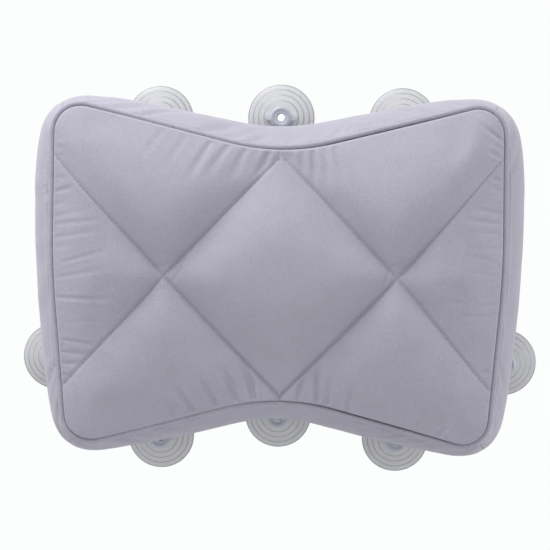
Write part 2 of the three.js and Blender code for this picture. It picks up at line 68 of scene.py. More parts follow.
# How far the boxing stands out, by the length along the seam from the top waist to the bottom one.
# Both are in millimetres.
BOXING_BULGES = (
    # Top
    (0, 15.9), (32, 15.6), (64, 14.1), (100, 12.2), (120, 10.8),
    # Top corner
    (128, 9.6), (136, 7.5), (144, 7.1), (152, 8.6), (160, 10.8), (168, 12.8), (176, 15.0),
    # Side
    (184, 16.1), (192, 16.8), (208, 17.3), (232, 17.1), (264, 16.2), (304, 16.2), (340, 15.6), (362, 14.6),
    # Bottom corner
    (368, 14.0), (376, 12.9), (384, 13.9), (392, 13.6), (400, 12.0),
    # Bottom
    (408, 12.3), (416, 12.9), (450, 15.2), (472, 16.3), (500, 16.8), (514, 16.5), (535, 15.6),
)

# Quilted front: its pads, and the share of their height that the seams between them keep
CROSSING = np.array((81.0, 5.2)) * MM
CROWN = 21.5 * MM
LOW_CROWN_SHARE = 0.66
SEAM_SHARE = 0.36
UPPER_SEAM_SHARE = 0.92
LOWER_SEAM_SHARE = 0.64
SIDE_SEAM_RUN = 60.0 * MM
PAD_ROUNDING = 40.0 * MM
EDGE_ROUNDING = 75.0 * MM
PANEL_TUCK = 1.6 * MM
FRONT_BACKING = 5.0 * MM

# Crease along each seam, which is deeper towards the bottom and fades at the rim
SEAM_CREASE = 0.9 * MM
LOW_SEAM_CREASE = 2.3 * MM
SEAM_CREASE_WIDTH = 1.4 * MM
SEAM_FADE = 1.5 * MM

# Apex at each waist, where two seams meet: how far inside the rim it is pulled, and the stem that is left
TOP_APEX_PULL = 4.5 * MM
BOTTOM_APEX_PULL = 3.5 * MM
APEX_EDGE = 1.2 * MM
APEX_STEM = 2.5 * MM
STEM_SPREAD = 0.8
APEX_SLOPE = 0.92
APEX_PINCH = 0.2
APEX_OPEN = 2.2 * MM
APEX_OPENING = 1.4 * MM
PINCH_RUN = 8.0 * MM

# Shoulder of the front beside the piping
RIM_SHOULDER = 4.0 * MM
RIM_ROUND = 1.6 * MM

# Shift of the quilting to the right, by the distance from the middle at which it is full and at which it ends
QUILT_SHIFT = 2.5 * MM
SHIFT_FULL = 90.0 * MM
SHIFT_NONE = 150.0 * MM

# Piping
PIPING_RADIUS = 2.0 * MM
PIPING_PROUD = 0.2 * MM

# Back panel
BACK_CROWN = 3.0 * MM
BACK_ROUNDING = 15.0 * MM
BACK_BACKING = 2.0 * MM

# Tabs, from the sewn root to the buttonhole
TAB_LENGTH = 40.0 * MM
TAB_WIDTH = 16.0 * MM
TAB_CLOTH = 2.0 * MM
TAB_FLAT = 9.0 * MM
TAB_ROOT_Y = -16.2 * MM
TAB_GROOVE = 9.3 * MM
TAB_PATCH = 13.0 * MM
BUTTONHOLE_RADIUS = 4.8 * MM

# Suction cup, as radius and distance in front of the wall
CUP_RADIUS = 25.0 * MM
LIP_WIDTH = 1.5 * MM
RIM_THICKNESS = 1.0 * MM
TERRACE_RADII = (21.0 * MM, 17.0 * MM, 12.9 * MM)
TERRACE_STEP = 0.8 * MM
TERRACE_SLOPE = 0.5 * MM
CUP_HOLLOW = 3.6 * MM
HOLLOW_STEP = 0.3 * MM
CUP_SHOULDER = 5.4 * MM
NECK_RADIUS = 4.5 * MM
HEAD_BACK = 10.6 * MM
HEAD_FRONT = 15.2 * MM
HEAD_RADIUS = 8.2 * MM
HEAD_CHAMFER = 1.5 * MM
HEAD_BORE_RADIUS = 2.5 * MM
HEAD_BORE_DEPTH = 8.2 * MM
LUG_SPAN = 24.0 * MM
LUG_HEIGHT = 5.3 * MM
LUG_FRONT = 8.0 * MM
LUG_THICKNESS = 2.6 * MM
LUG_CHAMFER = 0.6 * MM
STEP_DRAFT = 0.8 * MM
HEAD_GROOVE = 0.5 * MM

# Middle of each cup on the wall, and the turn of its tab about Y from pointing up
CUP_PLACES = {
    "top_left": (-91.0, 117.75, 0),
    "top_middle": (0.0, 119.616, 0),
    "top_right": (91.0, 117.75, 0),
    "right": (169.564, -62.7, 90),
    "bottom_right": (89.0, -122.091, 180),
    "bottom_middle": (0.0, -104.942, 180),
    "bottom_left": (-89.0, -122.091, 180),
    "left": (-169.564, -62.7, -90),
}

# Cloth simulation
CLOTH_SETTINGS = {
    "quality": 8,
    "mass": 0.15,
    "tension_stiffness": 15,
    "compression_stiffness": 15,
    "shear_stiffness": 5,
    "bending_stiffness": 0.05,
}
SETTLING_FRAMES = 20
EASING = 0.5
FRONT_PRESSURE = 1.0
FRONT_SPARE = 0.006
FRONT_SWELL = 5.0 * MM
FRONT_EASING_TURNS = 24
BOXING_PRESSURE = 2.0
BOXING_SPARE = 0.015
BOXING_SWELL = 2.6 * MM
BOXING_EASING_TURNS = 20

# How firmly each padded piece is filled
FRONT_FILL = 0.75
BOXING_FILL = 0.8
BACK_FILL = 0.6

# Fineness of the meshes
ARC_STEPS = 48
FRONT_DIVISIONS = 44
FRONT_LEVELS = 2
BACK_DIVISIONS = 36
BACK_LEVELS = 1
BOXING_SPACING = 2.6 * MM
BOXING_ROWS = 30
BOXING_LEVELS = 1
ROWS_CLOSER = 0.55
PIPING_STATIONS = 640
PIPING_SIDES = 14
SEAM_TRIES = 8000
SAME_PLACE = 0.001 * MM
ON_LINE = 0.01 * MM

# Marks round the rim, counted from the top waist, at which the quilting ends
UPPER_MARK = 2
LOWER_MARK = 3
BOTTOM_MARK = 5
ALL_MARKS = 2 * BOTTOM_MARK

# Seams of the boxing: the crease at each corner, and the ridge over the seam allowance behind the piping
CORNER_CREASE = 0.35 * MM
ALLOWANCE = 5.5 * MM
ALLOWANCE_RIDGE = 0.5 * MM
ALLOWANCE_EDGE = 1.1 * MM

# Folds along a sewn edge: the range of each draw, as a share of the pitch, depth or reach asked for.
# A slant is added to the lean asked for.
FIRST_PLACES = (0.2, 0.8)
FOLD_DEPTHS = (0.45, 1.0)
FOLD_WIDTHS = (0.16, 0.3)
FOLD_REACHES = (0.4, 1.0)
FOLD_SLANTS = (-0.2, 0.2)
FOLD_GAPS = (0.6, 1.5)

# How far from the edge such folds are in full, and the lips beside them
GATHER_LEAD = 3.0 * MM
GATHER_LIPS = 1.2

# Gathers all round a seam: the seed of their draws, then their pitch, depth and reach
FRONT_GATHERS = (11, 7.0 * MM, 0.3 * MM, 11.0 * MM)
BACK_GATHERS = (31, 13.0 * MM, 0.8 * MM, 45.0 * MM)
PIPING_GATHERS = (41, 8.0 * MM, 0.25 * MM, 20.0 * MM)

# Wrinkles of the boxing: how far to either side of a place they go, then their pitch, depth and reach
WRINKLE_SEED = 23
WRINKLE_LEAD = 6.0 * MM
CORNER_WRINKLES = (75.0 * MM, 24.0 * MM, 1.5 * MM, 45.0 * MM)
CORNER_LEAN = 1.5
TOP_WRINKLES = (70.0 * MM, 26.0 * MM, 0.9 * MM, 45.0 * MM)
TOP_LEAN = 1.2
BOTTOM_WRINKLES = (80.0 * MM, 28.0 * MM, 0.6 * MM, 45.0 * MM)
BOTTOM_LEAN = 1.0
BACK_CLEARANCE = 8.0 * MM

# Shape of the front's folds, along each of them and across it, and how far the quilting holds them flat
FOLD_LEAD = 3.0 * MM
FOLD_CLEARANCE = 4.0 * MM
FOLD_START_WIDTH = 0.75
FOLD_SPREAD = 0.5
FOLD_FADE_START = 0.4
FOLD_FADE = 0.7
FOLD_LIPS = 1.3
HELD_SHARE = 0.3
HELD_RUN = 5.0 * MM

# Folds of the front in millimetres: start and end of each in X and Z, how deep it is and how wide
FRONT_FOLDS = (
    # Left side
    (-155, 99, -146, 101, 0.14, 2.4),
    (-155, 93, -146, 94, 0.19, 2.4),
    (-155, 86, -146, 89, 0.19, 2.4),
    (-155, 73, -144, 72, 0.29, 2.4),
    (-155, 63, -139, 67, 0.53, 2.4),
    (-155, 54, -145, 57, 0.19, 2.4),
    (-153, 46, -133, 51, 0.24, 2.4),
    (-155, 40, -115, 45, 0.29, 2.4),
    (-155, 31, -121, 37, 0.29, 2.4),
    (-155, 24, -141, 26, 0.19, 2.4),
    (-149, 14, -114, 24, 0.29, 2.4),
    (-154, 3, -114, 11, 0.29, 2.4),
    (-155, -11, -107, -11, 0.48, 2.4),
    (-145, -28, -114, -26, 0.12, 2.4),
    (-147, -41, -121, -44, 0.52, 2.4),
    (-152, -49, -127, -51, 0.52, 2.4),
    (-152, -57, -131, -58, 0.56, 2.4),
    (-151, -65, -138, -67, 0.65, 2.4),
    # Top left
    (-47, 98, -63, 72, 0.85, 3.8),
    (-34, 97, -50, 76, 0.85, 3.8),
    (-22, 95, -33, 75, 0.85, 3.8),
    (-6, 93, -17, 74, 1.30, 3.8),
    (-78, 109, -96, 84, 0.33, 3.8),
    (-63, 103, -81, 77, 0.33, 3.8),
    # Top right
    (7, 94, 10, 86, 1.12, 3.3),
    (16, 94, 19, 78, 0.75, 3.3),
    (24, 95, 27, 70, 1.20, 3.3),
    (32, 96, 36, 69, 0.60, 3.3),
    (39, 97, 48, 69, 0.75, 3.3),
    # Bottom left
    (-15, -81, -21, -58, 2.30, 3.6),
    (-27, -84, -37, -58, 2.10, 3.6),
    (-42, -85, -55, -64, 1.80, 3.6),
    (-58, -89, -74, -69, 1.50, 3.6),
    (-72, -93, -83, -78, 0.90, 3.6),
    # Bottom right
    (15, -82, 23, -58, 1.98, 3.0),
    (29, -84, 29, -53, 1.80, 3.0),
    (36, -86, 40, -62, 1.10, 3.0),
    (50, -88, 55, -70, 1.00, 3.0),
    (113, -106, 120, -97, 1.10, 3.0),
    (97, -102, 101, -93, 0.66, 3.0),
    # Right side
    (155, 101, 136, 114, 0.77, 2.4),
    (155, 95, 144, 100, 0.34, 2.4),
    (155, 89, 142, 95, 0.68, 2.4),
    (155, 84, 143, 87, 0.34, 2.4),
    (154, 74, 145, 76, 0.65, 2.4),
    (154, 67, 144, 70, 0.34, 2.4),
    (154, 51, 132, 55, 0.43, 2.4),
    (154, 44, 125, 47, 0.52, 2.4),
    (154, 37, 131, 38, 0.25, 2.4),
    (154, 27, 131, 27, 0.25, 2.4),
    (153, 17, 128, 23, 0.25, 2.4),
    (154, 7, 128, 12, 0.22, 2.4),
    (153, -12, 139, -13, 0.43, 2.4),
    (147, -20, 124, -20, 0.43, 2.4),
    (130, -11, 111, -9, 0.25, 2.4),
    (150, -59, 140, -61, 0.43, 2.4),
    # Crossings
    (-85, 12, -73, 13, 0.59, 2.2),
    (-66, 11, -73, -1, 0.90, 2.2),
    (-80, -4, -72, -3, 0.36, 2.2),
    (77, 10, 74, -4, 0.41, 2.2),
    (78, 14, 86, 16, 0.36, 2.2),
)

# Thread
STITCH_LENGTH = 2.3 * MM
STITCH_PITCH = 3.1 * MM
STITCH_WAIST = 0.3
STITCH_TAPER = 0.5
THREAD_RADIUS = 0.3 * MM
THREAD_SIDES = 6
THREAD_PROUD = 0.5
IN_FRONT_Y = -200.0 * MM

# Making of the tabs
TAB_STEPS = 14
TAB_END_ANGLES = (15, 30, 45, 58, 70, 80, 86)
TAB_BEVEL = 0.7 * MM
TAB_BEVEL_STEPS = 3
TAB_BEVEL_ANGLE = 50
TAB_MERGE = 0.05 * MM
TAB_SMOOTH_ANGLE = 45
BUTTONHOLE_SIDES = 48
BUTTONHOLE_STITCHES = 40
BUTTONHOLE_STITCH_SHARE = 0.42
TAB_STITCH_INSET = 2.2 * MM

# Making of the cups
CUP_SIDES = 96
CUP_CENTRE = 0.5 * MM
HOLLOW_TOP = 0.99
RIM_EDGE = 0.4
LUG_ROUNDING = 0.48
LUG_ROUND_STEPS = 8
CUP_BEVEL = 0.15 * MM
CUP_BEVEL_STEPS = 2
CUP_BEVEL_ANGLE = 28
CUP_SMOOTH_ANGLE = 40

# Which faces are meant: how nearly they look along an axis, how sloped they are, and how near they lie
FACING = 0.9
# Sloped faces at the front of the head, which get painted shade
RING_SHADE_SLOPE = 0.85
# Steep faces on the steps and the rim edge, which get painted shade
EDGE_SHADE_SLOPE = 0.8
JUST_OVER_HALF = 0.51
NEAR = 0.1 * MM

# Materials: their colours, and the stretch of the specks in the nap
NAP_STRETCH = (1.0, 1.0, 0.55)
LAVENDER = (0.43, 0.42, 0.495)
THREAD_LAVENDER = (0.4, 0.39, 0.46)
VINYL = (0.72, 0.725, 0.745)
# Painted shade: the darker grey of the cups' step walls and rim edge stands in for the dark lines that
# refraction and shade draw there
VINYL_EDGE_SHADE = (0.4, 0.405, 0.43)
VINYL_HEAD = (0.66, 0.69, 0.76)
# Painted shade: the darker blue of the head's chamfer and groove stands in for the dark rings that refraction
# and shade draw round the head
VINYL_RING_SHADE = (0.57, 0.6, 0.67)
VINYL_BORE = (0.98, 0.98, 0.98)
WHITE_BEHIND = (0.973, 0.991, 0.982, 1)
PALE_FLOOR = (0.62, 0.62, 0.63, 1)

# Camera, with its turns in degrees
AZIMUTH = 1.5
ELEVATION = 3.5
ROLL = 0.63
CAMERA_DISTANCE = 1100.0 * MM
FRAME_WIDTH = 416.7 * MM
SENSOR_WIDTH = 36.0
AIM = Vector((-3.5, 0.0, 1.2)) * MM

# Light: the sky's strength, then each lamp's place and side in metres and its power
SKY_LIGHT = 0.44
LAMPS = {
    "overhead": ((-0.42, -0.34, 1.02), 0.9, 12.0),
    "left": ((-1.0, 0.1, 0.25), 0.7, 2.4),
    "right": ((1.0, 0.05, 0.15), 0.7, 3.6),
    "front": ((0.45, -1.2, 0.45), 1.2, 2.3),
    "back": ((0.35, 1.2, 0.55), 1.0, 4.0),
}

# Floor
FLOOR_Z = -0.32
FLOOR_SIDE = 1.2
FLOOR_FRONT = -1.1
FLOOR_BACK = 0.38
FLOOR_ROUGHNESS = 0.9


# Outline of the panels


def unit(vector):
    return vector / np.linalg.norm(vector)


def smoothstep(t):
    t = np.clip(t, 0.0, 1.0)
    return t * t * (3 - 2 * t)


def fillet(before, corner, after, radius, steps=ARC_STEPS):
    """Points of the arc that rounds one corner of the outline."""
    to_before = unit(before - corner)
    to_after = unit(after - corner)
    half_angle = math.acos(to_before @ to_after) / 2
    centre = corner + unit(to_before + to_after) * radius / math.sin(half_angle)
    start = corner + to_before * radius / math.tan(half_angle) - centre
    end = corner + to_after * radius / math.tan(half_angle) - centre
    turn = math.atan2(start[0] * end[1] - start[1] * end[0], start @ end)
    angles = math.atan2(start[1], start[0]) + turn * np.linspace(0, 1, steps + 1)
    return centre + radius * np.column_stack((np.cos(angles), np.sin(angles)))


def mirrored(points):
    return points * (-1, 1)


class SeamLine:
    """The seam round a panel, by the length along it from the top waist, clockwise as the bather sees it."""

    def __init__(self):
        top = fillet(mirrored(TOP_CORNER), TOP_WAIST, TOP_CORNER, WAIST_RADIUS)
        bottom = fillet(BOTTOM_CORNER, BOTTOM_WAIST, mirrored(BOTTOM_CORNER), WAIST_RADIUS)
        middle = len(top) // 2
        arcs = [
            top[middle:],
            fillet(TOP_WAIST, TOP_CORNER, SIDE_MIDDLE, CORNER_RADIUS),
            fillet(TOP_CORNER, SIDE_MIDDLE, BOTTOM_CORNER, SIDE_RADIUS),
            fillet(SIDE_MIDDLE, BOTTOM_CORNER, BOTTOM_WAIST, CORNER_RADIUS),
            bottom[: middle + 1],
        ]
        self.points = np.vstack(arcs)
        steps = np.linalg.norm(np.diff(self.points, axis=0), axis=1)
        self.run = np.concatenate(([0.0], np.cumsum(steps)))
        self.half = self.run[-1]
        self.around = 2 * self.half
        ends = np.cumsum([len(arc) for arc in arcs])
        self.top_corner = self.run[ends[0]], self.run[ends[1] - 1]
        self.bottom_corner = self.run[ends[2]], self.run[ends[3] - 1]

    def on_right(self, lengths):
        return np.column_stack([np.interp(lengths, self.run, self.points[:, i]) for i in (0, 1)])

    def fold(self, lengths):
        lengths = np.asarray(lengths) % self.around
        on_left = lengths > self.half
        return np.where(on_left, self.around - lengths, lengths), np.where(on_left, -1.0, 1.0)

    def at(self, lengths):
        """Points and outward normals at these lengths."""
        folded, side = self.fold(lengths)
        step = 0.5 * MM
        ahead = self.on_right(np.minimum(folded + step, self.half))
        behind = self.on_right(np.maximum(folded - step, 0.0))
        tangent = (ahead - behind) / np.linalg.norm(ahead - behind, axis=1)[:, None]
        points = self.on_right(folded)
        normals = np.column_stack((-tangent[:, 1], tangent[:, 0]))
        points[:, 0] *= side
        normals[:, 0] *= side
        return points, normals

    def bulge(self, lengths):
        """How far the boxing stands out of the seam at mid depth."""
        folded, _ = self.fold(lengths)
        step = 1.0 * MM
        at = np.arange(0, self.half, step)
        reach = round(3 * BULGE_SMOOTHING / step)
        weights = np.exp(-((np.arange(-reach, reach + 1) * step / BULGE_SMOOTHING) ** 2))
        known = np.array(BOXING_BULGES) * MM
        bulges = np.pad(np.interp(at, known[:, 0], known[:, 1]), reach, mode="reflect")
        smooth = np.convolve(bulges, weights / weights.sum(), mode="valid")
        return np.interp(folded, at, smooth)


seam = SeamLine()
top_waist_point = seam.points[0]
bottom_waist_point = seam.points[-1]
top_corner_seam = sum(seam.top_corner) / 2
bottom_corner_seam = sum(seam.bottom_corner) / 2


def seam_end(waist_point):
    """The length at which the quilting seam from a waist through the crossing reaches the side."""
    lengths = np.linspace(top_corner_seam, bottom_corner_seam, SEAM_TRIES)
    offset = seam.on_right(lengths) - waist_point
    along = CROSSING - waist_point
    return lengths[np.argmin(np.abs(offset[:, 0] * along[1] - offset[:, 1] * along[0]))]


upper_seam_end = seam_end(bottom_waist_point)
lower_seam_end = seam_end(top_waist_point)


def rim_lengths(divisions):
    """Lengths round the outline, with the corners' middles and the quilting's ends among them."""
    marks = [0.0, top_corner_seam, upper_seam_end, lower_seam_end, bottom_corner_seam, seam.half]
    right = np.concatenate([np.linspace(a, b, divisions, endpoint=False) for a, b in zip(marks, marks[1:])])
    return np.concatenate((right, [seam.half], seam.around - right[:0:-1]))


def inset_rim(divisions, inset):
    points, normals = seam.at(rim_lengths(divisions))
    return points - normals * inset


# Net of four-sided faces over a panel, with edges along the quilting


def line(start, end, divisions):
    return start + (end - start) * np.linspace(0, 1, divisions + 1)[:, None]


def patch(bottom, top, left, right):
    """A grid of points that fills the space between four runs of points."""
    u = np.linspace(0, 1, len(bottom))[:, None, None]
    v = np.linspace(0, 1, len(left))[None, :, None]
    across = bottom[:, None] * (1 - v) + top[:, None] * v
    along = left[None] * (1 - u) + right[None] * u
    ends = (bottom[0] * (1 - u) + bottom[-1] * u) * (1 - v) + (top[0] * (1 - u) + top[-1] * u) * v
    return across + along - ends


def three_patches(first, second, third):
    """Three grids that fill a triangle, from its sides given end to end."""
    half = len(first) // 2
    centre = (first[0] + second[0] + third[0]) / 3
    sides = (first, second, third)
    grids = []
    for i, side in enumerate(sides):
        before = sides[i - 1]
        to_middle = line(before[half], centre, half)
        grids.append(patch(side[: half + 1], to_middle, before[half:][::-1], line(side[half], centre, half)))
    return grids


def grid_numbers(rows, columns):
    return np.arange(rows * columns).reshape(rows, columns)


def grid_faces(numbers):
    """Four-sided faces between the rows and columns of a grid of point numbers."""
    corners = (numbers[:-1, :-1], numbers[1:, :-1], numbers[1:, 1:], numbers[:-1, 1:])
    return np.stack(corners, axis=-1).reshape(-1, 4)


def both_sides(divisions):
    """Each side's crossing, where its half of the rim starts, and its step from mark to mark."""
    return (CROSSING, 0, divisions), (mirrored(CROSSING), ALL_MARKS * divisions, -divisions)


def panel_net(rim, divisions):
    """Points in X and Z and faces towards the bather, for a panel inside this rim."""
    n = divisions
    ring = np.vstack((rim, rim[:1]))

    def run(start, end):
        return ring[start : end + 1] if end > start else ring[end : start + 1][::-1]

    top, bottom = ring[0], ring[BOTTOM_MARK * n]
    grids = []
    for cross, first, step in both_sides(n):
        corner, upper, lower, foot, last = (first + step * mark for mark in range(1, BOTTOM_MARK + 1))
        to_upper = line(cross, ring[upper], n)
        to_lower = line(cross, ring[lower], n)
        grids.append(patch(to_upper, run(first, corner), line(cross, top, n), run(upper, corner)))
        grids.append(patch(to_lower, run(last, foot), line(cross, bottom, n), run(lower, foot)))
        grids += three_patches(to_upper, run(upper, lower), to_lower[::-1])
    right, left = CROSSING, mirrored(CROSSING)
    lower_right, upper_left = line(right, bottom, n), line(top, left, n)
    grids.append(patch(line(right, top, n), line(bottom, left, n), lower_right, upper_left))
    points, faces, count = [], [], 0
    for grid in grids:
        rows, columns = grid.shape[:2]
        quads = grid_faces(count + grid_numbers(rows, columns))
        a, b, c = grid[0, 0], grid[1, 0], grid[1, 1]
        facing = (b - a)[0] * (c - a)[1] - (b - a)[1] * (c - a)[0]
        faces.append(quads if facing > 0 else quads[:, ::-1])
        points.append(grid.reshape(-1, 2))
        count += rows * columns
    points = np.vstack(points)
    rounded = np.round(points / SAME_PLACE)
    _, first_uses, place = np.unique(rounded, axis=0, return_index=True, return_inverse=True)
    return points[first_uses], place.ravel()[np.vstack(faces)]


# Heights of the quilted front


def distance_to_segment(points, a, b):
    share = np.clip((points - a) @ (b - a) / ((b - a) @ (b - a)), 0, 1)
    return np.linalg.norm(points - a - share[:, None] * (b - a), axis=1)


def nearest_on_rim(points, rim, lengths):
    """Distance to the rim, and the length along the seam at the nearest place."""
    best = np.full(len(points), np.inf)
    where = np.zeros(len(points))
    for i in range(len(rim)):
        away = distance_to_segment(points, rim[i - 1], rim[i])
        nearer = away < best
        best[nearer] = away[nearer]
        where[nearer] = lengths[i]
    return best, where


def rounding(distance, run):
    """From 0 at an edge to 1 at this run from it, ever less steep."""
    return 1 - (1 - np.minimum(distance / run, 1)) ** 2


def lowness(points):
    """From 0 at the crossings' height and above it to 1 at the bottom waist."""
    return smoothstep((CROSSING[1] - points[:, 1]) / (CROSSING[1] - BOTTOM_WAIST[1]))


def crown(points):
    """Full height of the pads, which is less towards the bottom."""
    return CROWN * (1 - (1 - LOW_CROWN_SHARE) * lowness(points))


def quilt_seams(rim, divisions):
    """The quilting's straight stretches, from each crossing to a waist and to a side."""
    stretches = []
    for cross, first, step in both_sides(divisions):
        ends = (0, BOTTOM_MARK * divisions, first + step * UPPER_MARK, first + step * LOWER_MARK)
        stretches += [(cross, rim[end]) for end in ends]
    return stretches


def distance_to_quilting(points, rim):
    seams = quilt_seams(rim, FRONT_DIVISIONS)
    return np.min([distance_to_segment(points, a, b) for a, b in seams], axis=0)


def seam_share(points):
    """The share of the full height that a seam keeps: least at the crossings and more towards the sides."""
    beyond = np.abs(points[:, 0]) - CROSSING[0]
    upper = smoothstep(0.5 + (points[:, 1] - CROSSING[1]) / PAD_ROUNDING)
    at_side = LOWER_SEAM_SHARE + (UPPER_SEAM_SHARE - LOWER_SEAM_SHARE) * upper
    return SEAM_SHARE + (at_side - SEAM_SHARE) * smoothstep(beyond / SIDE_SEAM_RUN)


def shift_of_quilting(points):
    """The quilting sits a little to the right of the panel's middle, though its ends at the sides don't."""
    share = 1 - smoothstep((np.abs(points[:, 0]) - SHIFT_FULL) / (SHIFT_NONE - SHIFT_FULL))
    return np.column_stack((QUILT_SHIFT * share, np.zeros(len(points))))


def apex_pull(points, to_rim):
    """Moves in X and Z that bring the points where two seams meet a little inside the rim."""
    within = APEX_SLOPE * to_rim
    aside = np.abs(points[:, 0])
    opened = APEX_PINCH + (1 - APEX_PINCH) * smoothstep((to_rim - APEX_OPEN) / APEX_OPENING)
    pinch = np.minimum(aside, within) * (1 - opened) * (1 - smoothstep((aside - within) / PINCH_RUN))
    moves = np.column_stack((-np.sign(points[:, 0]) * pinch, np.zeros(len(points))))
    for apex, pull in ((top_waist_point, -TOP_APEX_PULL), (bottom_waist_point, BOTTOM_APEX_PULL)):
        away = np.linalg.norm(points - apex, axis=1)
        near = np.maximum(1 - away / np.linalg.norm(CROSSING - apex), 0)
        stem = APEX_STEM + STEM_SPREAD * np.maximum(aside - within, 0)
        moves[:, 1] += pull * near * smoothstep((to_rim - APEX_EDGE) / stem)
    return moves


# Meshes


def deselect_all():
    bpy.ops.object.select_all(action="DESELECT")


def pick(piece):
    deselect_all()
    piece.select_set(True)
    bpy.context.view_layer.objects.active = piece


def new_piece(name, points, faces, material):
    mesh = bpy.data.meshes.new(name)
    mesh.from_pydata([tuple(p) for p in points], [], [tuple(int(i) for i in f) for f in faces])
    mesh.materials.append(material)
    mesh.polygons.foreach_set("use_smooth", [True] * len(mesh.polygons))
    piece = bpy.data.objects.new(name, mesh)
    bpy.context.collection.objects.link(piece)
    return piece


def coordinates(piece):
    points = np.empty(len(piece.data.vertices) * 3)
    piece.data.vertices.foreach_get("co", points)
    return points.reshape(-1, 3)


def outward(piece):
    """Normals of the piece's points."""
    normals = np.empty(len(piece.data.vertices) * 3)
    piece.data.vertex_normals.foreach_get("vector", normals)
    return normals.reshape(-1, 3)


def set_coordinates(piece, points):
    piece.data.vertices.foreach_set("co", np.ascontiguousarray(points).ravel())
    piece.data.update()


def finish_modifier(piece, kind, **settings):
    modifier = piece.modifiers.new(kind.lower(), kind)
    for name, value in settings.items():
        setattr(modifier, name, value)
    pick(piece)
    bpy.ops.object.modifier_apply(modifier=modifier.name)


def subdivide(piece, levels):
    finish_modifier(piece, "SUBSURF", levels=levels, render_levels=levels)


def vertex_group(piece, name, members):
    group = piece.vertex_groups.new(name=name)
    group.add([int(i) for i in np.flatnonzero(members)], 1.0, "REPLACE")


def settle_cloth(piece, sewn, pressure, spare, reach):
    """Lets cloth with some to spare swell between its sewn points; no point moves further than reach."""
    start = coordinates(piece)
    vertex_group(piece, "sewn", sewn)
    cloth = piece.modifiers.new("cloth", "CLOTH")
    settings = cloth.settings
    settings.vertex_group_mass = "sewn"
    for name, value in CLOTH_SETTINGS.items():
        setattr(settings, name, value)
    settings.use_pressure = True
    settings.uniform_pressure_force = pressure
    settings.shrink_min = -spare
    settings.effector_weights.gravity = 0
    cloth.collision_settings.use_collision = False
    for step in range(1, SETTLING_FRAMES + 1):
        bpy.context.scene.frame_set(step)
    pick(piece)
    bpy.ops.object.modifier_apply(modifier=cloth.name)
    bpy.context.scene.frame_set(1)
    piece.vertex_groups.clear()
    moved = coordinates(piece) - start
    far = np.linalg.norm(moved, axis=1, keepdims=True)
    set_coordinates(piece, start + moved * reach / np.maximum(far, reach))


def ease(piece, free, turns):
    """Takes the smallest crumples out of settled cloth, apart from its sewn points."""
    vertex_group(piece, "free", free)
    finish_modifier(piece, "SMOOTH", factor=EASING, iterations=turns, vertex_group="free")
    piece.vertex_groups.clear()


def close_behind(piece, depth):
    """Carries the open edge of a panel back by depth and fills it, so that the panel is a closed form."""
    mesh = bmesh.new()
    mesh.from_mesh(piece.data)
    edge = [e for e in mesh.edges if e.is_boundary]
    made = bmesh.ops.extrude_edge_only(mesh, edges=edge)["geom"]
    far_edge = [g for g in made if isinstance(g, bmesh.types.BMEdge)]
    far_points = {v for e in far_edge for v in e.verts}
    level = sum(v.co.y for v in far_points) / len(far_points) + depth
    for v in far_points:
        v.co.y = level
    bmesh.ops.triangle_fill(mesh, use_beauty=True, edges=far_edge)
    bmesh.ops.recalc_face_normals(mesh, faces=mesh.faces)
    for face in mesh.faces:
        face.smooth = True
    mesh.to_mesh(piece.data)
    mesh.free()


# Folds that run into the cloth from a sewn edge


def fold_shape(spread, lips):
    """A groove with a low lip on either side, by the distance from its middle in widths."""
    return (1 - lips * spread**2) * np.exp(-(spread**2))


class Folds:
    """Folds across a sewn edge, each at a length along it, with a depth, width, reach and lean of its own."""

    def __init__(self, seed, lead=GATHER_LEAD):
        self.lead = lead
        self.draw = np.random.default_rng(seed)
        self.rows = []

    def add(self, start, end, pitch, depth, reach, lean=0.0):
        at = start + pitch * self.draw.uniform(*FIRST_PLACES)
        while at < end:
            share = self.draw.uniform(*FOLD_DEPTHS)
            width = pitch * self.draw.uniform(*FOLD_WIDTHS)
            far = reach * self.draw.uniform(*FOLD_REACHES)
            slant = lean + self.draw.uniform(*FOLD_SLANTS)
            self.rows.append((at, depth * share, width, far, slant))
            at += pitch * self.draw.uniform(*FOLD_GAPS)

    def add_beside(self, place, half, pitch, depth, reach, lean):
        self.add(place - half, place + half, pitch, depth, reach, lean)

    def depth(self, lengths, away):
        """How deep the cloth is drawn in, by the length along the edge and the distance away from it."""
        total = np.zeros(len(lengths))
        for at, depth, width, reach, lean in self.rows:
            offset = (lengths - at - lean * away + seam.half) % seam.around - seam.half
            spread = offset / (width * (1 + away / reach))
            fade = smoothstep(away / self.lead) * (1 - smoothstep(away / reach))
            total += depth * fade * fold_shape(spread, GATHER_LIPS)
        return total


def gathers_all_round(seed, pitch, depth, reach):
    folds = Folds(seed)
    folds.add(0, seam.around, pitch, depth, reach)
    return folds


# Materials


def new_material(name):
    material = bpy.data.materials.new(name)
    material.use_nodes = True
    return material, material.node_tree


def math_node(tree, operation, first, second):
    """The result of a Math node on two values, each of them a socket or a number."""
    node = tree.nodes.new("ShaderNodeMath")
    node.operation = operation
    for value, socket in zip((first, second), node.inputs):
        if isinstance(value, bpy.types.NodeSocket):
            tree.links.new(value, socket)
        else:
            socket.default_value = value
    return node.outputs[0]


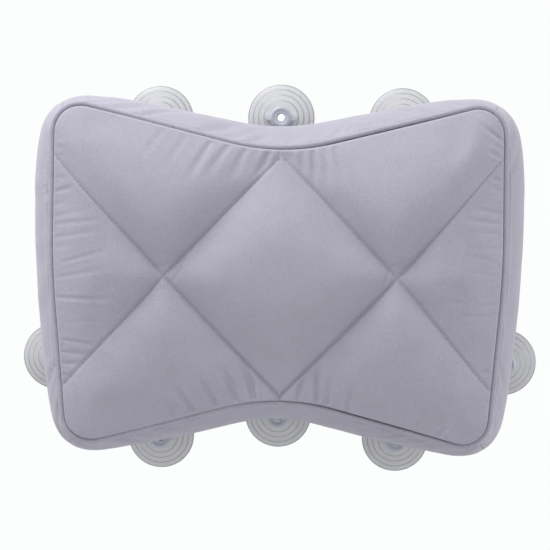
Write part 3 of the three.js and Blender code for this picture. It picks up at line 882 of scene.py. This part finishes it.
def cloud_group():
    """Soft patches of light and dark, with fine specks in them, as a factor round 1 and as a height."""
    group = bpy.data.node_groups.new("nap", "ShaderNodeTree")
    for name in ("Patch Scale", "Speck Scale", "Patch Amount", "Speck Amount"):
        group.interface.new_socket(name, in_out="INPUT", socket_type="NodeSocketFloat")
    for name in ("Shade", "Height"):
        group.interface.new_socket(name, in_out="OUTPUT", socket_type="NodeSocketFloat")
    nodes, links = group.nodes, group.links
    start = nodes.new("NodeGroupInput")
    end = nodes.new("NodeGroupOutput")
    place = nodes.new("ShaderNodeTexCoord")
    drag = nodes.new("ShaderNodeMapping")
    drag.inputs["Scale"].default_value = NAP_STRETCH
    links.new(place.outputs["Object"], drag.inputs["Vector"])
    patches = nodes.new("ShaderNodeTexNoise")
    patches.inputs["Detail"].default_value = 3
    specks = nodes.new("ShaderNodeTexNoise")
    specks.inputs["Detail"].default_value = 2
    links.new(place.outputs["Object"], patches.inputs["Vector"])
    links.new(drag.outputs["Vector"], specks.inputs["Vector"])
    links.new(start.outputs["Patch Scale"], patches.inputs["Scale"])
    links.new(start.outputs["Speck Scale"], specks.inputs["Scale"])

    def swing(noise, amount):
        centred = math_node(group, "SUBTRACT", noise.outputs["Fac"], 0.5)
        return math_node(group, "MULTIPLY", centred, start.outputs[amount])

    both = math_node(group, "ADD", swing(patches, "Patch Amount"), swing(specks, "Speck Amount"))
    links.new(math_node(group, "ADD", both, 1.0), end.inputs["Shade"])
    links.new(specks.outputs["Fac"], end.inputs["Height"])
    return group


nap_group = cloud_group()


def finish(name, colour, roughness, patch, speck, bump):
    """A material whose colour and height vary in patches and specks: each is its size and its strength."""
    material, tree = new_material(name)
    nodes, links = tree.nodes, tree.links
    shader = nodes["Principled BSDF"]
    shader.inputs["Roughness"].default_value = roughness
    nap = nodes.new("ShaderNodeGroup")
    nap.node_tree = nap_group
    for kind, (size, strength) in (("Patch", patch), ("Speck", speck)):
        nap.inputs[f"{kind} Scale"].default_value = 1 / size
        nap.inputs[f"{kind} Amount"].default_value = strength
    tint = nodes.new("ShaderNodeVectorMath")
    tint.operation = "SCALE"
    tint.inputs[0].default_value = colour
    links.new(nap.outputs["Shade"], tint.inputs["Scale"])
    links.new(tint.outputs["Vector"], shader.inputs["Base Color"])
    relief = nodes.new("ShaderNodeBump")
    relief.inputs["Strength"].default_value = 1.0
    relief.inputs["Distance"].default_value = bump
    links.new(nap.outputs["Height"], relief.inputs["Height"])
    links.new(relief.outputs["Normal"], shader.inputs["Normal"])
    return material, shader


def brushed_cloth(name, colour):
    material, shader = finish(
        name, colour, roughness=0.85, patch=(14 * MM, 0.12), speck=(0.7 * MM, 0.45), bump=0.06 * MM
    )
    shader.inputs["Sheen Weight"].default_value = 0.25
    shader.inputs["Sheen Roughness"].default_value = 0.4
    shader.inputs["Specular IOR Level"].default_value = 0.2
    return material


def clear_vinyl(name, colour, clear, ior=1.46, alpha=1.0):
    material, shader = finish(
        name, colour, roughness=0.3, patch=(9 * MM, 0.06), speck=(1.5 * MM, 0.03), bump=0.01 * MM
    )
    shader.inputs["IOR"].default_value = ior
    shader.inputs["Transmission Weight"].default_value = clear
    shader.inputs["Alpha"].default_value = alpha
    return material


cloth_finish = brushed_cloth("brushed_cloth", LAVENDER)
thread_finish = brushed_cloth("thread", THREAD_LAVENDER)
vinyl_finish = clear_vinyl("clear_vinyl", VINYL, clear=0.15)
# Painted shade for the dark lines at the cups' steps and rim edge
vinyl_edge_shade_finish = clear_vinyl("clear_vinyl_painted_edge_shade", VINYL_EDGE_SHADE, clear=0.15)
vinyl_head_finish = clear_vinyl("clear_vinyl_head", VINYL_HEAD, clear=0.25, alpha=0.8)
# Painted shade for the dark rings round the front of the head
vinyl_ring_shade_finish = clear_vinyl("clear_vinyl_painted_ring_shade", VINYL_RING_SHADE, clear=0.25)
vinyl_bore_finish = clear_vinyl("clear_vinyl_bore", VINYL_BORE, clear=1.0, ior=1.1)

# Padded pieces


def pad(piece, *nodes, fill):
    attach(piece, "cushion")
    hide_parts(*nodes)


def quilted_front():
    n = FRONT_DIVISIONS
    rim = inset_rim(n, PANEL_TUCK)
    points, faces = panel_net(rim, n)
    to_rim, _ = nearest_on_rim(points, rim, rim_lengths(n))
    to_seam = distance_to_quilting(points, rim)
    low = seam_share(points)
    height = crown(points) * rounding(to_rim, EDGE_ROUNDING)
    height *= low + (1 - low) * rounding(to_seam, PAD_ROUNDING)
    points = points + shift_of_quilting(points)
    start = np.column_stack((points[:, 0], FRONT_SEAM_Y - height, points[:, 1]))
    piece = new_piece("quilted_front", start, faces, cloth_finish)
    quilted = to_seam < ON_LINE
    sewn = quilted | (to_rim < ON_LINE)
    settle_cloth(piece, sewn, FRONT_PRESSURE, FRONT_SPARE, FRONT_SWELL)
    ease(piece, ~sewn, FRONT_EASING_TURNS)
    crease_seams(piece, quilted)
    subdivide(piece, FRONT_LEVELS)
    draw_in(piece, rim)
    close_behind(piece, FRONT_BACKING)
    pad(piece, "front_panel", "quilt_wadding", "quilt_lining", "fibre_core", fill=FRONT_FILL)
    return piece


def crease_seams(piece, quilted):
    """Keeps the edges along the quilting sharp through the subdivision."""
    sharpness = piece.data.attributes.new("crease_edge", "FLOAT", "EDGE")
    ends = np.empty(len(piece.data.edges) * 2, int)
    piece.data.edges.foreach_get("vertices", ends)
    sharpness.data.foreach_set("value", quilted[ends.reshape(-1, 2)].all(axis=1).astype(np.float32))


def draw_in(piece, rim):
    """Draws the settled front in along its seams, at its folds and in small gathers along its edge."""
    place = coordinates(piece)
    shown = place[:, [0, 2]]
    flat = shown - shift_of_quilting(shown)
    to_rim, along = nearest_on_rim(flat, rim, rim_lengths(FRONT_DIVISIONS))
    to_seam = distance_to_quilting(flat, rim)
    depth = gathers_all_round(*FRONT_GATHERS).depth(along, to_rim)
    depth += front_fold_depth(shown) * smoothstep(to_rim / FOLD_CLEARANCE)
    depth *= HELD_SHARE + (1 - HELD_SHARE) * smoothstep(to_seam / HELD_RUN)
    place -= outward(piece) * depth[:, None]
    inner = 1 - smoothstep((np.abs(flat[:, 0]) - CROSSING[0]) / SIDE_SEAM_RUN)
    crease = SEAM_CREASE + (LOW_SEAM_CREASE - SEAM_CREASE) * lowness(flat) * inner
    crease *= np.exp(-((to_seam / SEAM_CREASE_WIDTH) ** 2)) * smoothstep(to_rim / SEAM_FADE)
    place[:, 1] += crease
    place[:, [0, 2]] += apex_pull(flat, to_rim)
    place[:, 1] -= RIM_SHOULDER * np.sqrt(rounding(to_rim, RIM_ROUND))
    set_coordinates(piece, place)


def front_fold_depth(points):
    """How deep the front is drawn in at its own folds."""
    total = np.zeros(len(points))
    for x0, z0, x1, z1, depth, width in FRONT_FOLDS:
        start, end = np.array((x0, z0)) * MM, np.array((x1, z1)) * MM
        run = np.linalg.norm(end - start)
        along = unit(end - start)
        share = (points - start) @ along / run
        aside = (points - start) @ np.array((-along[1], along[0]))
        spread = aside / (width * MM * (FOLD_START_WIDTH + FOLD_SPREAD * np.clip(share, 0, 1)))
        fade = smoothstep(1 + share * run / FOLD_LEAD)
        fade *= 1 - smoothstep((share - FOLD_FADE_START) / FOLD_FADE)
        total += depth * MM * fade * fold_shape(spread, FOLD_LIPS)
    return total


def points_round(points, normals, out, y):
    """A grid of points round the seam, by how far out of it each one lies and by its Y."""
    grid = np.empty(out.shape + (3,))
    grid[:, :, 0] = points[:, :1] + normals[:, :1] * out
    grid[:, :, 1] = y
    grid[:, :, 2] = points[:, 1:] + normals[:, 1:] * out
    return grid


def boxing():
    """The band between the panels, settled as one ring and then cut at the corner seams into four strips."""
    corners = [top_corner_seam, bottom_corner_seam, seam.around - bottom_corner_seam]
    corners += [seam.around - top_corner_seam, seam.around + top_corner_seam]
    stretches = list(zip(corners, corners[1:]))
    counts = [round((b - a) / BOXING_SPACING) for a, b in stretches]
    runs = [np.linspace(a, b, count, endpoint=False) for (a, b), count in zip(stretches, counts)]
    lengths = np.concatenate(runs)
    points, normals = seam.at(lengths)
    bulge = seam.bulge(lengths)
    even = np.linspace(0, 1, BOXING_ROWS)
    share = even - ROWS_CLOSER * np.sin(2 * math.pi * even) / (2 * math.pi)
    front_edge = FRONT_SEAM_Y + BOXING_TUCK
    stand_out = bulge[:, None] * np.sin(math.pi * share)[None] ** BULGE_FULLNESS
    start = points_round(points, normals, stand_out, front_edge + (BACK_SEAM_Y - front_edge) * share)
    numbers = grid_numbers(len(lengths), BOXING_ROWS)
    faces = grid_faces(np.vstack((numbers, numbers[:1])))
    ring = new_piece("boxing_ring", start.reshape(-1, 3), faces, cloth_finish)
    sewn = np.zeros(start.shape[:2], bool)
    sewn[:, [0, -1]] = True
    settle_cloth(ring, sewn.ravel(), BOXING_PRESSURE, BOXING_SPARE, BOXING_SWELL)
    ease(ring, ~sewn.ravel(), BOXING_EASING_TURNS)
    settled = coordinates(ring).reshape(start.shape)
    bpy.data.objects.remove(ring)
    stand_out = ((settled[:, :, [0, 2]] - points[:, None]) * normals[:, None]).sum(axis=2)
    short = (bulge - stand_out.max(axis=1))[:, None] * np.sin(math.pi * share)
    settled[:, :, [0, 2]] += normals[:, None] * short[:, :, None]
    ends = np.concatenate(([0], np.cumsum(counts)))
    for axis, column in ((0, 0), (2, 1)):
        settled[ends[:-1], 1:-1, axis] -= normals[ends[:-1], column, None] * CORNER_CREASE
    wrinkles = boxing_wrinkles()
    for place, first, last in zip(("right", "bottom", "left", "top"), ends, ends[1:]):
        grid = settled[np.arange(first, last + 1) % len(lengths)]
        quads = grid_faces(grid_numbers(len(grid), BOXING_ROWS))
        strip = new_piece(f"boxing_strip_{place}", grid.reshape(-1, 3), quads, cloth_finish)
        subdivide(strip, BOXING_LEVELS)
        wrinkle(strip, wrinkles)
        finish_modifier(strip, "SOLIDIFY", thickness=BOXING_CLOTH, offset=-1)
        pad(strip, f"boxing_{place}", fill=BOXING_FILL)


def boxing_wrinkles():
    """Wrinkles of the boxing: slanted by the corners, and a few along the top and the bottom."""
    folds = Folds(WRINKLE_SEED, WRINKLE_LEAD)
    for corner, lean in ((bottom_corner_seam, CORNER_LEAN), (top_corner_seam, -CORNER_LEAN)):
        folds.add_beside(corner, *CORNER_WRINKLES, lean)
        folds.add_beside(seam.around - corner, *CORNER_WRINKLES, -lean)
    folds.add_beside(0.0, *TOP_WRINKLES, TOP_LEAN)
    folds.add_beside(seam.half, *BOTTOM_WRINKLES, BOTTOM_LEAN)
    return folds


def wrinkle(strip, wrinkles):
    """Draws a strip of the boxing in at its wrinkles, and raises the seam allowance under it."""
    lengths = rim_lengths(FRONT_DIVISIONS)
    rim, _ = seam.at(lengths)
    place = coordinates(strip)
    _, along = nearest_on_rim(place[:, [0, 2]], rim, lengths)
    behind = place[:, 1] - FRONT_SEAM_Y
    before_back = smoothstep((BACK_SEAM_Y - place[:, 1]) / BACK_CLEARANCE)
    depth = wrinkles.depth(along, behind) * before_back
    depth -= ALLOWANCE_RIDGE * np.exp(-(((behind - ALLOWANCE) / ALLOWANCE_EDGE) ** 2))
    set_coordinates(strip, place - outward(strip) * depth[:, None])


def back_cloth():
    n = BACK_DIVISIONS
    rim = inset_rim(n, 0.0)
    points, faces = panel_net(rim, n)
    to_rim, along = nearest_on_rim(points, rim, rim_lengths(n))
    height = BACK_CROWN * rounding(to_rim, BACK_ROUNDING)
    height -= gathers_all_round(*BACK_GATHERS).depth(along, to_rim)
    start = np.column_stack((points[:, 0], BACK_SEAM_Y + height, points[:, 1]))
    piece = new_piece("back_cloth", start, faces[:, ::-1], cloth_finish)
    subdivide(piece, BACK_LEVELS)
    close_behind(piece, -BACK_BACKING)
    pad(piece, "back_panel", fill=BACK_FILL)


def swept_piping():
    """The corded piping round the front seam."""
    lengths = np.linspace(0, seam.around, PIPING_STATIONS, endpoint=False)
    points, normals = seam.at(lengths)
    angles = 2 * math.pi * np.arange(PIPING_SIDES) / PIPING_SIDES
    drawn_in = gathers_all_round(*PIPING_GATHERS).depth(lengths, np.full(PIPING_STATIONS, GATHER_LEAD))
    radius = PIPING_RADIUS - drawn_in[:, None]
    y = FRONT_SEAM_Y - PIPING_PROUD - radius * np.sin(angles)
    grid = points_round(points, normals, radius * np.cos(angles), y)
    closed = np.pad(grid_numbers(PIPING_STATIONS, PIPING_SIDES), (0, 1), mode="wrap")
    piece = new_piece("piping", grid.reshape(-1, 3), grid_faces(closed.T), cloth_finish)
    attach(piece, "cushion")
    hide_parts("piping_cover", "piping_cord")


front = quilted_front()
boxing()
back_cloth()
swept_piping()

# Modelling by hand


def set_mode(mode):
    bpy.ops.object.mode_set(mode=mode)


def extrude(*move):
    bpy.ops.mesh.extrude_region_move(TRANSFORM_OT_translate={"value": move})


def add_box(size, middle):
    deselect_all()
    bpy.ops.mesh.primitive_cube_add(size=1, location=middle)
    box = bpy.context.object
    box.scale = size
    bpy.ops.object.transform_apply(location=True, rotation=True, scale=True)
    return box


def select_faces(piece, wanted):
    """In edit mode, selects the faces whose normal passes a test, and nothing else."""
    bpy.ops.mesh.select_mode(type="FACE")
    bpy.ops.mesh.select_all(action="DESELECT")
    mesh = bmesh.from_edit_mesh(piece.data)
    mesh.normal_update()
    for face in mesh.faces:
        if wanted(face.normal):
            face.select_set(True)
    mesh.select_flush_mode()
    bmesh.update_edit_mesh(piece.data)


def bevel(piece, width, steps, angle):
    limit = math.radians(angle)
    finish_modifier(piece, "BEVEL", width=width, segments=steps, limit_method="ANGLE", angle_limit=limit)


def combine(piece, operation, tool):
    finish_modifier(piece, "BOOLEAN", operation=operation, object=tool, solver="EXACT")
    bpy.data.objects.remove(tool)


def smooth_by_angle(piece, angle):
    pick(piece)
    bpy.ops.object.shade_smooth_by_angle(angle=math.radians(angle))


def at_each_cup(original, prefix):
    """Copies of a piece, one at each cup's place, with the place's name and the move that leads there."""
    for place, (x, z, turn) in CUP_PLACES.items():
        to_place = Matrix.Translation((x * MM, 0, z * MM)) @ Matrix.Rotation(math.radians(turn), 4, "Y")
        piece = original.copy()
        piece.data = original.data.copy()
        piece.name = f"{prefix}_{place}"
        piece.data.transform(to_place)
        bpy.context.collection.objects.link(piece)
        yield place, piece, to_place
    bpy.data.objects.remove(original)


# Thread


def one_stitch():
    """A short bulging run of thread along Z that dips at both ends."""
    waist = STITCH_WAIST * STITCH_LENGTH
    deselect_all()
    bpy.ops.mesh.primitive_cylinder_add(vertices=THREAD_SIDES, radius=THREAD_RADIUS, depth=2 * waist)
    stitch = bpy.context.object
    set_mode("EDIT")
    for side in (1, -1):
        select_faces(stitch, lambda normal: normal.z * side > FACING)
        extrude(0, THREAD_RADIUS, side * (STITCH_LENGTH / 2 - waist))
        bpy.ops.transform.resize(value=(STITCH_TAPER, STITCH_TAPER, 1))
    set_mode("OBJECT")
    stitch.data.polygons.foreach_set("use_smooth", [True] * len(stitch.data.polygons))
    return stitch


def sewn_run(stitch, name, places):
    """Copies of one stitch at these places, as one mesh."""
    gathered = bmesh.new()
    for place in places:
        copy = stitch.data.copy()
        copy.transform(place)
        gathered.from_mesh(copy)
        bpy.data.meshes.remove(copy)
    mesh = bpy.data.meshes.new(name)
    gathered.to_mesh(mesh)
    gathered.free()
    mesh.materials.append(thread_finish)
    piece = bpy.data.objects.new(name, mesh)
    bpy.context.collection.objects.link(piece)
    return piece


def stitch_place(middle, along, out):
    """Where a stitch goes: its run along one direction, and its back away from another."""
    along = along.normalized()
    across = (-out).cross(along).normalized()
    turn = Matrix((across, along.cross(across), along)).transposed().to_4x4()
    return Matrix.Translation(middle) @ turn


def quilting_thread(stitch):
    rim = inset_rim(FRONT_DIVISIONS, PANEL_TUCK)
    ray = Vector((0, 1, 0))
    places = []
    for start, end in quilt_seams(rim, FRONT_DIVISIONS):
        count = int(np.linalg.norm(end - start) / STITCH_PITCH)
        marks = line(start, end, count)
        to_rim, _ = nearest_on_rim(marks, rim, rim_lengths(FRONT_DIVISIONS))
        marks = marks + apex_pull(marks, to_rim) + shift_of_quilting(marks)
        found = []
        for x, z in marks:
            hit, point, _, _ = front.ray_cast(Vector((x, IN_FRONT_Y, z)), ray)
            if hit:
                found.append(point)
        for a, b in zip(found, found[1:]):
            middle = (a + b) / 2 - ray * THREAD_PROUD * THREAD_RADIUS
            places.append(stitch_place(middle, b - a, -ray))
    piece = sewn_run(stitch, "quilting_thread", places)
    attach(piece, "cushion")


stitch = one_stitch()
quilting_thread(stitch)

# Tabs, modelled once with the buttonhole's middle at the origin and pointing up


def strip_height(reach):
    """Y of the middle of the strip, by the distance from its root."""
    return TAB_ROOT_Y + (-TAB_GROOVE - TAB_ROOT_Y) * smoothstep(reach / (TAB_LENGTH - TAB_FLAT))


def tab_strip():
    """The doubled cloth strip: a sewn patch, a rise to the cup's groove, and a round end with a hole."""
    strip = add_box((TAB_WIDTH, TAB_CLOTH, TAB_PATCH), (0, TAB_ROOT_Y, -TAB_LENGTH - TAB_PATCH / 2))
    set_mode("EDIT")
    select_faces(strip, lambda normal: normal.z > FACING)
    height, reach = TAB_ROOT_Y, 0.0
    for i in range(1, TAB_STEPS + 1):
        next_reach = (TAB_LENGTH - TAB_FLAT) * i / TAB_STEPS
        next_height = strip_height(next_reach)
        extrude(0, next_height - height, next_reach - reach)
        height, reach = next_height, next_reach
    extrude(0, 0, TAB_LENGTH - reach)
    radius, width, reach = TAB_WIDTH / 2, 1.0, 0.0
    for angle in TAB_END_ANGLES:
        next_reach = radius * math.sin(math.radians(angle))
        next_width = math.cos(math.radians(angle))
        extrude(0, 0, next_reach - reach)
        bpy.ops.transform.resize(value=(next_width / width, 1, 1), center_override=(0, 0, 0))
        width, reach = next_width, next_reach
    set_mode("OBJECT")
    bevel(strip, TAB_BEVEL, TAB_BEVEL_STEPS, TAB_BEVEL_ANGLE)
    set_mode("EDIT")
    bpy.ops.mesh.select_all(action="SELECT")
    bpy.ops.mesh.remove_doubles(threshold=TAB_MERGE)
    bpy.ops.mesh.normals_make_consistent(inside=False)
    set_mode("OBJECT")
    deselect_all()
    bpy.ops.mesh.primitive_cylinder_add(
        vertices=BUTTONHOLE_SIDES, radius=BUTTONHOLE_RADIUS, depth=4 * TAB_CLOTH,
        location=(0, -TAB_GROOVE, 0), rotation=(math.pi / 2, 0, 0)
    )
    combine(strip, "DIFFERENCE", bpy.context.object)
    strip.data.materials.clear()
    strip.data.materials.append(cloth_finish)
    smooth_by_angle(strip, TAB_SMOOTH_ANGLE)
    return strip


def tab_stitches():
    """Places of a tab's stitches: a crossed box on its patch, a row along each edge, and the buttonhole."""
    out = Vector((0, 1, 0))
    above = TAB_CLOTH / 2
    edge = TAB_WIDTH / 2 - TAB_STITCH_INSET
    places = []

    def sew(start, end, lift):
        count = max(1, round((end - start).length / STITCH_PITCH))
        for i in range(count):
            a, b = start.lerp(end, i / count), start.lerp(end, (i + 1) / count)
            a.y, b.y = (strip_height(p.z + TAB_LENGTH) + lift for p in (a, b))
            places.append(stitch_place((a + b) / 2, b - a, out if lift > 0 else -out))

    low, high = TAB_STITCH_INSET - TAB_LENGTH - TAB_PATCH, -TAB_LENGTH - TAB_STITCH_INSET / 2
    corners = [Vector((x, 0, z)) for x, z in ((-edge, low), (edge, low), (edge, high), (-edge, high))]
    for a, b in zip(corners, corners[1:] + corners[:1]):
        sew(a, b, above)
    sew(corners[0], corners[2], above)
    sew(corners[1], corners[3], above)
    for side in (-edge, edge):
        for lift in (above, -above):
            sew(Vector((side, 0, high + STITCH_PITCH)), Vector((side, 0, 0)), lift)
    middle = BUTTONHOLE_RADIUS + BUTTONHOLE_STITCH_SHARE * STITCH_LENGTH
    for i in range(BUTTONHOLE_STITCHES):
        angle = 2 * math.pi * i / BUTTONHOLE_STITCHES
        ray = Vector((math.cos(angle), 0, math.sin(angle)))
        for lift in (above, -above):
            point = ray * middle + out * (lift - TAB_GROOVE)
            places.append(stitch_place(point, ray, out if lift > 0 else -out))
    return places


def place_tabs():
    strip = tab_strip()
    sewing = sewn_run(stitch, "tab_thread", tab_stitches())
    pick(strip)
    sewing.select_set(True)
    bpy.ops.object.join()
    for place, piece, to_place in at_each_cup(strip, "tab"):
        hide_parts(f"cup_tab_{place}")
        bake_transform(piece)


place_tabs()
bpy.data.objects.remove(stitch)

# Suction cups


def cup_profile():
    """Radius and distance from the wall, from the middle of the hollow round to the bottom of the bore."""
    rows = [(HEAD_BORE_RADIUS, HOLLOW_TOP * CUP_HOLLOW)]
    for radius in reversed(TERRACE_RADII):
        depth = CUP_HOLLOW * (1 - (radius / CUP_RADIUS) ** 2)
        rows.append((radius - STEP_DRAFT / 2, depth + HOLLOW_STEP / 2))
        rows.append((radius - STEP_DRAFT / 4, depth - HOLLOW_STEP / 2))
    rows += [(CUP_RADIUS - LIP_WIDTH, 0.0), (CUP_RADIUS, 0.0), (CUP_RADIUS, RIM_EDGE * RIM_THICKNESS)]
    rows.append((CUP_RADIUS - STEP_DRAFT, RIM_THICKNESS))
    depth = RIM_THICKNESS
    for radius in TERRACE_RADII:
        depth += TERRACE_SLOPE
        rows.append((radius + STEP_DRAFT / 2, depth))
        depth += TERRACE_STEP
        rows.append((radius - STEP_DRAFT / 2, depth))
    rows += [(NECK_RADIUS, CUP_SHOULDER), (NECK_RADIUS, HEAD_BACK), (HEAD_RADIUS, HEAD_BACK)]
    rows += [(HEAD_RADIUS, HEAD_FRONT - HEAD_CHAMFER), (HEAD_RADIUS - HEAD_CHAMFER, HEAD_FRONT)]
    ledge = (HEAD_RADIUS - HEAD_CHAMFER + HEAD_BORE_RADIUS) / 2
    rows += [(ledge + STEP_DRAFT, HEAD_FRONT), (ledge, HEAD_FRONT - HEAD_GROOVE)]
    rows.append((HEAD_BORE_RADIUS + STEP_DRAFT, HEAD_FRONT - HEAD_GROOVE))
    rows.append((HEAD_BORE_RADIUS, HEAD_FRONT - 2 * HEAD_GROOVE))
    rows.append((HEAD_BORE_RADIUS, HEAD_FRONT - HEAD_BORE_DEPTH))
    return rows


def turned_cup():
    """A cup on its axis at the origin: a disc drawn out step by step along the profile."""
    radius, depth = CUP_CENTRE, CUP_HOLLOW
    deselect_all()
    bpy.ops.mesh.primitive_circle_add(
        vertices=CUP_SIDES, radius=radius, fill_type="NGON",
        location=(0, -depth, 0), rotation=(math.pi / 2, 0, 0)
    )
    bpy.ops.object.transform_apply(location=True, rotation=True, scale=True)
    cup = bpy.context.object
    set_mode("EDIT")
    bpy.ops.mesh.select_mode(type="FACE")
    bpy.ops.mesh.select_all(action="SELECT")
    for next_radius, next_depth in cup_profile():
        extrude(0, depth - next_depth, 0)
        share = next_radius / radius
        bpy.ops.transform.resize(value=(share, 1, share), center_override=(0, -next_depth, 0))
        radius, depth = next_radius, next_depth
    bpy.ops.mesh.select_all(action="SELECT")
    bpy.ops.mesh.normals_make_consistent(inside=False)
    set_mode("OBJECT")
    return cup


def lug_bar():
    """The bar behind the tab that gives the cup its two lugs, with rounded ends."""
    middle = (0, LUG_THICKNESS / 2 - LUG_FRONT + LUG_CHAMFER, 0)
    bar = add_box((LUG_SPAN, LUG_THICKNESS, LUG_HEIGHT), middle)
    set_mode("EDIT")
    bpy.ops.mesh.select_mode(type="EDGE")
    bpy.ops.mesh.select_all(action="DESELECT")
    set_mode("OBJECT")
    for edge in bar.data.edges:
        a, b = (bar.data.vertices[i].co for i in edge.vertices)
        edge.select = abs(a.y - b.y) > LUG_THICKNESS / 2
    set_mode("EDIT")
    bpy.ops.mesh.bevel(offset=LUG_ROUNDING * LUG_HEIGHT, segments=LUG_ROUND_STEPS, affect="EDGES")
    select_faces(bar, lambda normal: normal.y < -FACING)
    bpy.ops.mesh.inset(thickness=LUG_CHAMFER)
    bpy.ops.transform.translate(value=(0, -LUG_CHAMFER, 0))
    set_mode("OBJECT")
    return bar


def on_lug(point):
    beside = abs(point.x) > NECK_RADIUS and abs(point.z) < JUST_OVER_HALF * LUG_HEIGHT
    return beside and -point.y > LUG_FRONT - LUG_THICKNESS + NEAR


def vinyl_of(face):
    """The finish of one face of the cup, by its place and its slope."""
    away = math.hypot(face.center.x, face.center.z)
    forward = -face.center.y
    slope = abs(face.normal.y)
    if away < HEAD_BORE_RADIUS + NEAR:
        return vinyl_bore_finish
    # The head's chamfer and groove walls get painted shade, a darker blue for the dark rings that refraction
    # and shade draw there
    if forward > HEAD_FRONT - HEAD_CHAMFER - NEAR and slope < RING_SHADE_SLOPE:
        return vinyl_ring_shade_finish
    if forward > HEAD_BACK - NEAR or (on_lug(face.center) and face.normal.y > -FACING):
        return vinyl_head_finish
    # Steep faces of the steps and the rim get painted shade, a darker grey for the dark lines that refraction
    # and shade draw there
    if away > TERRACE_RADII[-1] - STEP_DRAFT and slope < EDGE_SHADE_SLOPE:
        return vinyl_edge_shade_finish
    return vinyl_finish


def suction_cup():
    cup = turned_cup()
    combine(cup, "UNION", lug_bar())
    bevel(cup, CUP_BEVEL, CUP_BEVEL_STEPS, CUP_BEVEL_ANGLE)
    smooth_by_angle(cup, CUP_SMOOTH_ANGLE)
    finishes = [vinyl_finish, vinyl_edge_shade_finish, vinyl_head_finish, vinyl_bore_finish, vinyl_ring_shade_finish]
    for vinyl in finishes:
        cup.data.materials.append(vinyl)
    for face in cup.data.polygons:
        face.material_index = finishes.index(vinyl_of(face))
    return cup


for place, piece, _ in at_each_cup(suction_cup(), "cup"):
    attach(piece, f"cup_{place}")
    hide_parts(f"suction_cup_{place}")

# Stage


def camera():
    az, el = math.radians(AZIMUTH), math.radians(ELEVATION)
    towards = Vector((math.sin(az) * math.cos(el), -math.cos(az) * math.cos(el), math.sin(el)))
    lens = bpy.data.cameras.new("camera")
    lens.sensor_width = SENSOR_WIDTH
    lens.lens = SENSOR_WIDTH * CAMERA_DISTANCE / FRAME_WIDTH
    eye = bpy.data.objects.new("camera", lens)
    bpy.context.collection.objects.link(eye)
    turn = (-towards).to_track_quat("-Z", "Y").to_matrix().to_4x4()
    roll = Matrix.Rotation(math.radians(ROLL), 4, "Z")
    eye.matrix_world = Matrix.Translation(AIM + towards * CAMERA_DISTANCE) @ turn @ roll
    bpy.context.scene.camera = eye


def sky():
    """White behind the object, and a softer light from all round."""
    world = bpy.data.worlds.new("studio")
    bpy.context.scene.world = world
    world.use_nodes = True
    nodes, links = world.node_tree.nodes, world.node_tree.links
    soft = nodes["Background"]
    soft.inputs["Color"].default_value = (1, 1, 1, 1)
    soft.inputs["Strength"].default_value = SKY_LIGHT
    white = nodes.new("ShaderNodeBackground")
    white.inputs["Color"].default_value = WHITE_BEHIND
    path = nodes.new("ShaderNodeLightPath")
    seen = path.outputs["Is Camera Ray"]
    for kind in ("Is Glossy Ray", "Is Transmission Ray"):
        seen = math_node(world.node_tree, "MAXIMUM", seen, path.outputs[kind])
    mix = nodes.new("ShaderNodeMixShader")
    links.new(seen, mix.inputs["Fac"])
    links.new(soft.outputs[0], mix.inputs[1])
    links.new(white.outputs[0], mix.inputs[2])
    links.new(mix.outputs[0], nodes["World Output"].inputs["Surface"])


def lamp(name, place, side, power):
    light = bpy.data.objects.new(name, bpy.data.lights.new(name, "AREA"))
    light.data.energy = power
    light.data.size = side
    light.location = place
    light.rotation_euler = (-Vector(place)).to_track_quat("-Z", "Y").to_euler()
    light.visible_camera = False
    bpy.context.collection.objects.link(light)


def floor():
    """A pale floor below the object, which ends short of what the photograph's view shows."""
    material, tree = new_material("pale_floor")
    shader = tree.nodes["Principled BSDF"]
    shader.inputs["Base Color"].default_value = PALE_FLOOR
    shader.inputs["Roughness"].default_value = FLOOR_ROUGHNESS
    left, right = -FLOOR_SIDE, FLOOR_SIDE
    corners = [(left, FLOOR_FRONT), (right, FLOOR_FRONT), (right, FLOOR_BACK), (left, FLOOR_BACK)]
    plane = new_piece("floor", [(x, y, FLOOR_Z) for x, y in corners], [(0, 1, 2, 3)], material)


camera()
sky()
for name, (place, side, power) in LAMPS.items():
    lamp(name, place, side, power)
floor()
bpy.context.scene.view_settings.view_transform = "Standard"
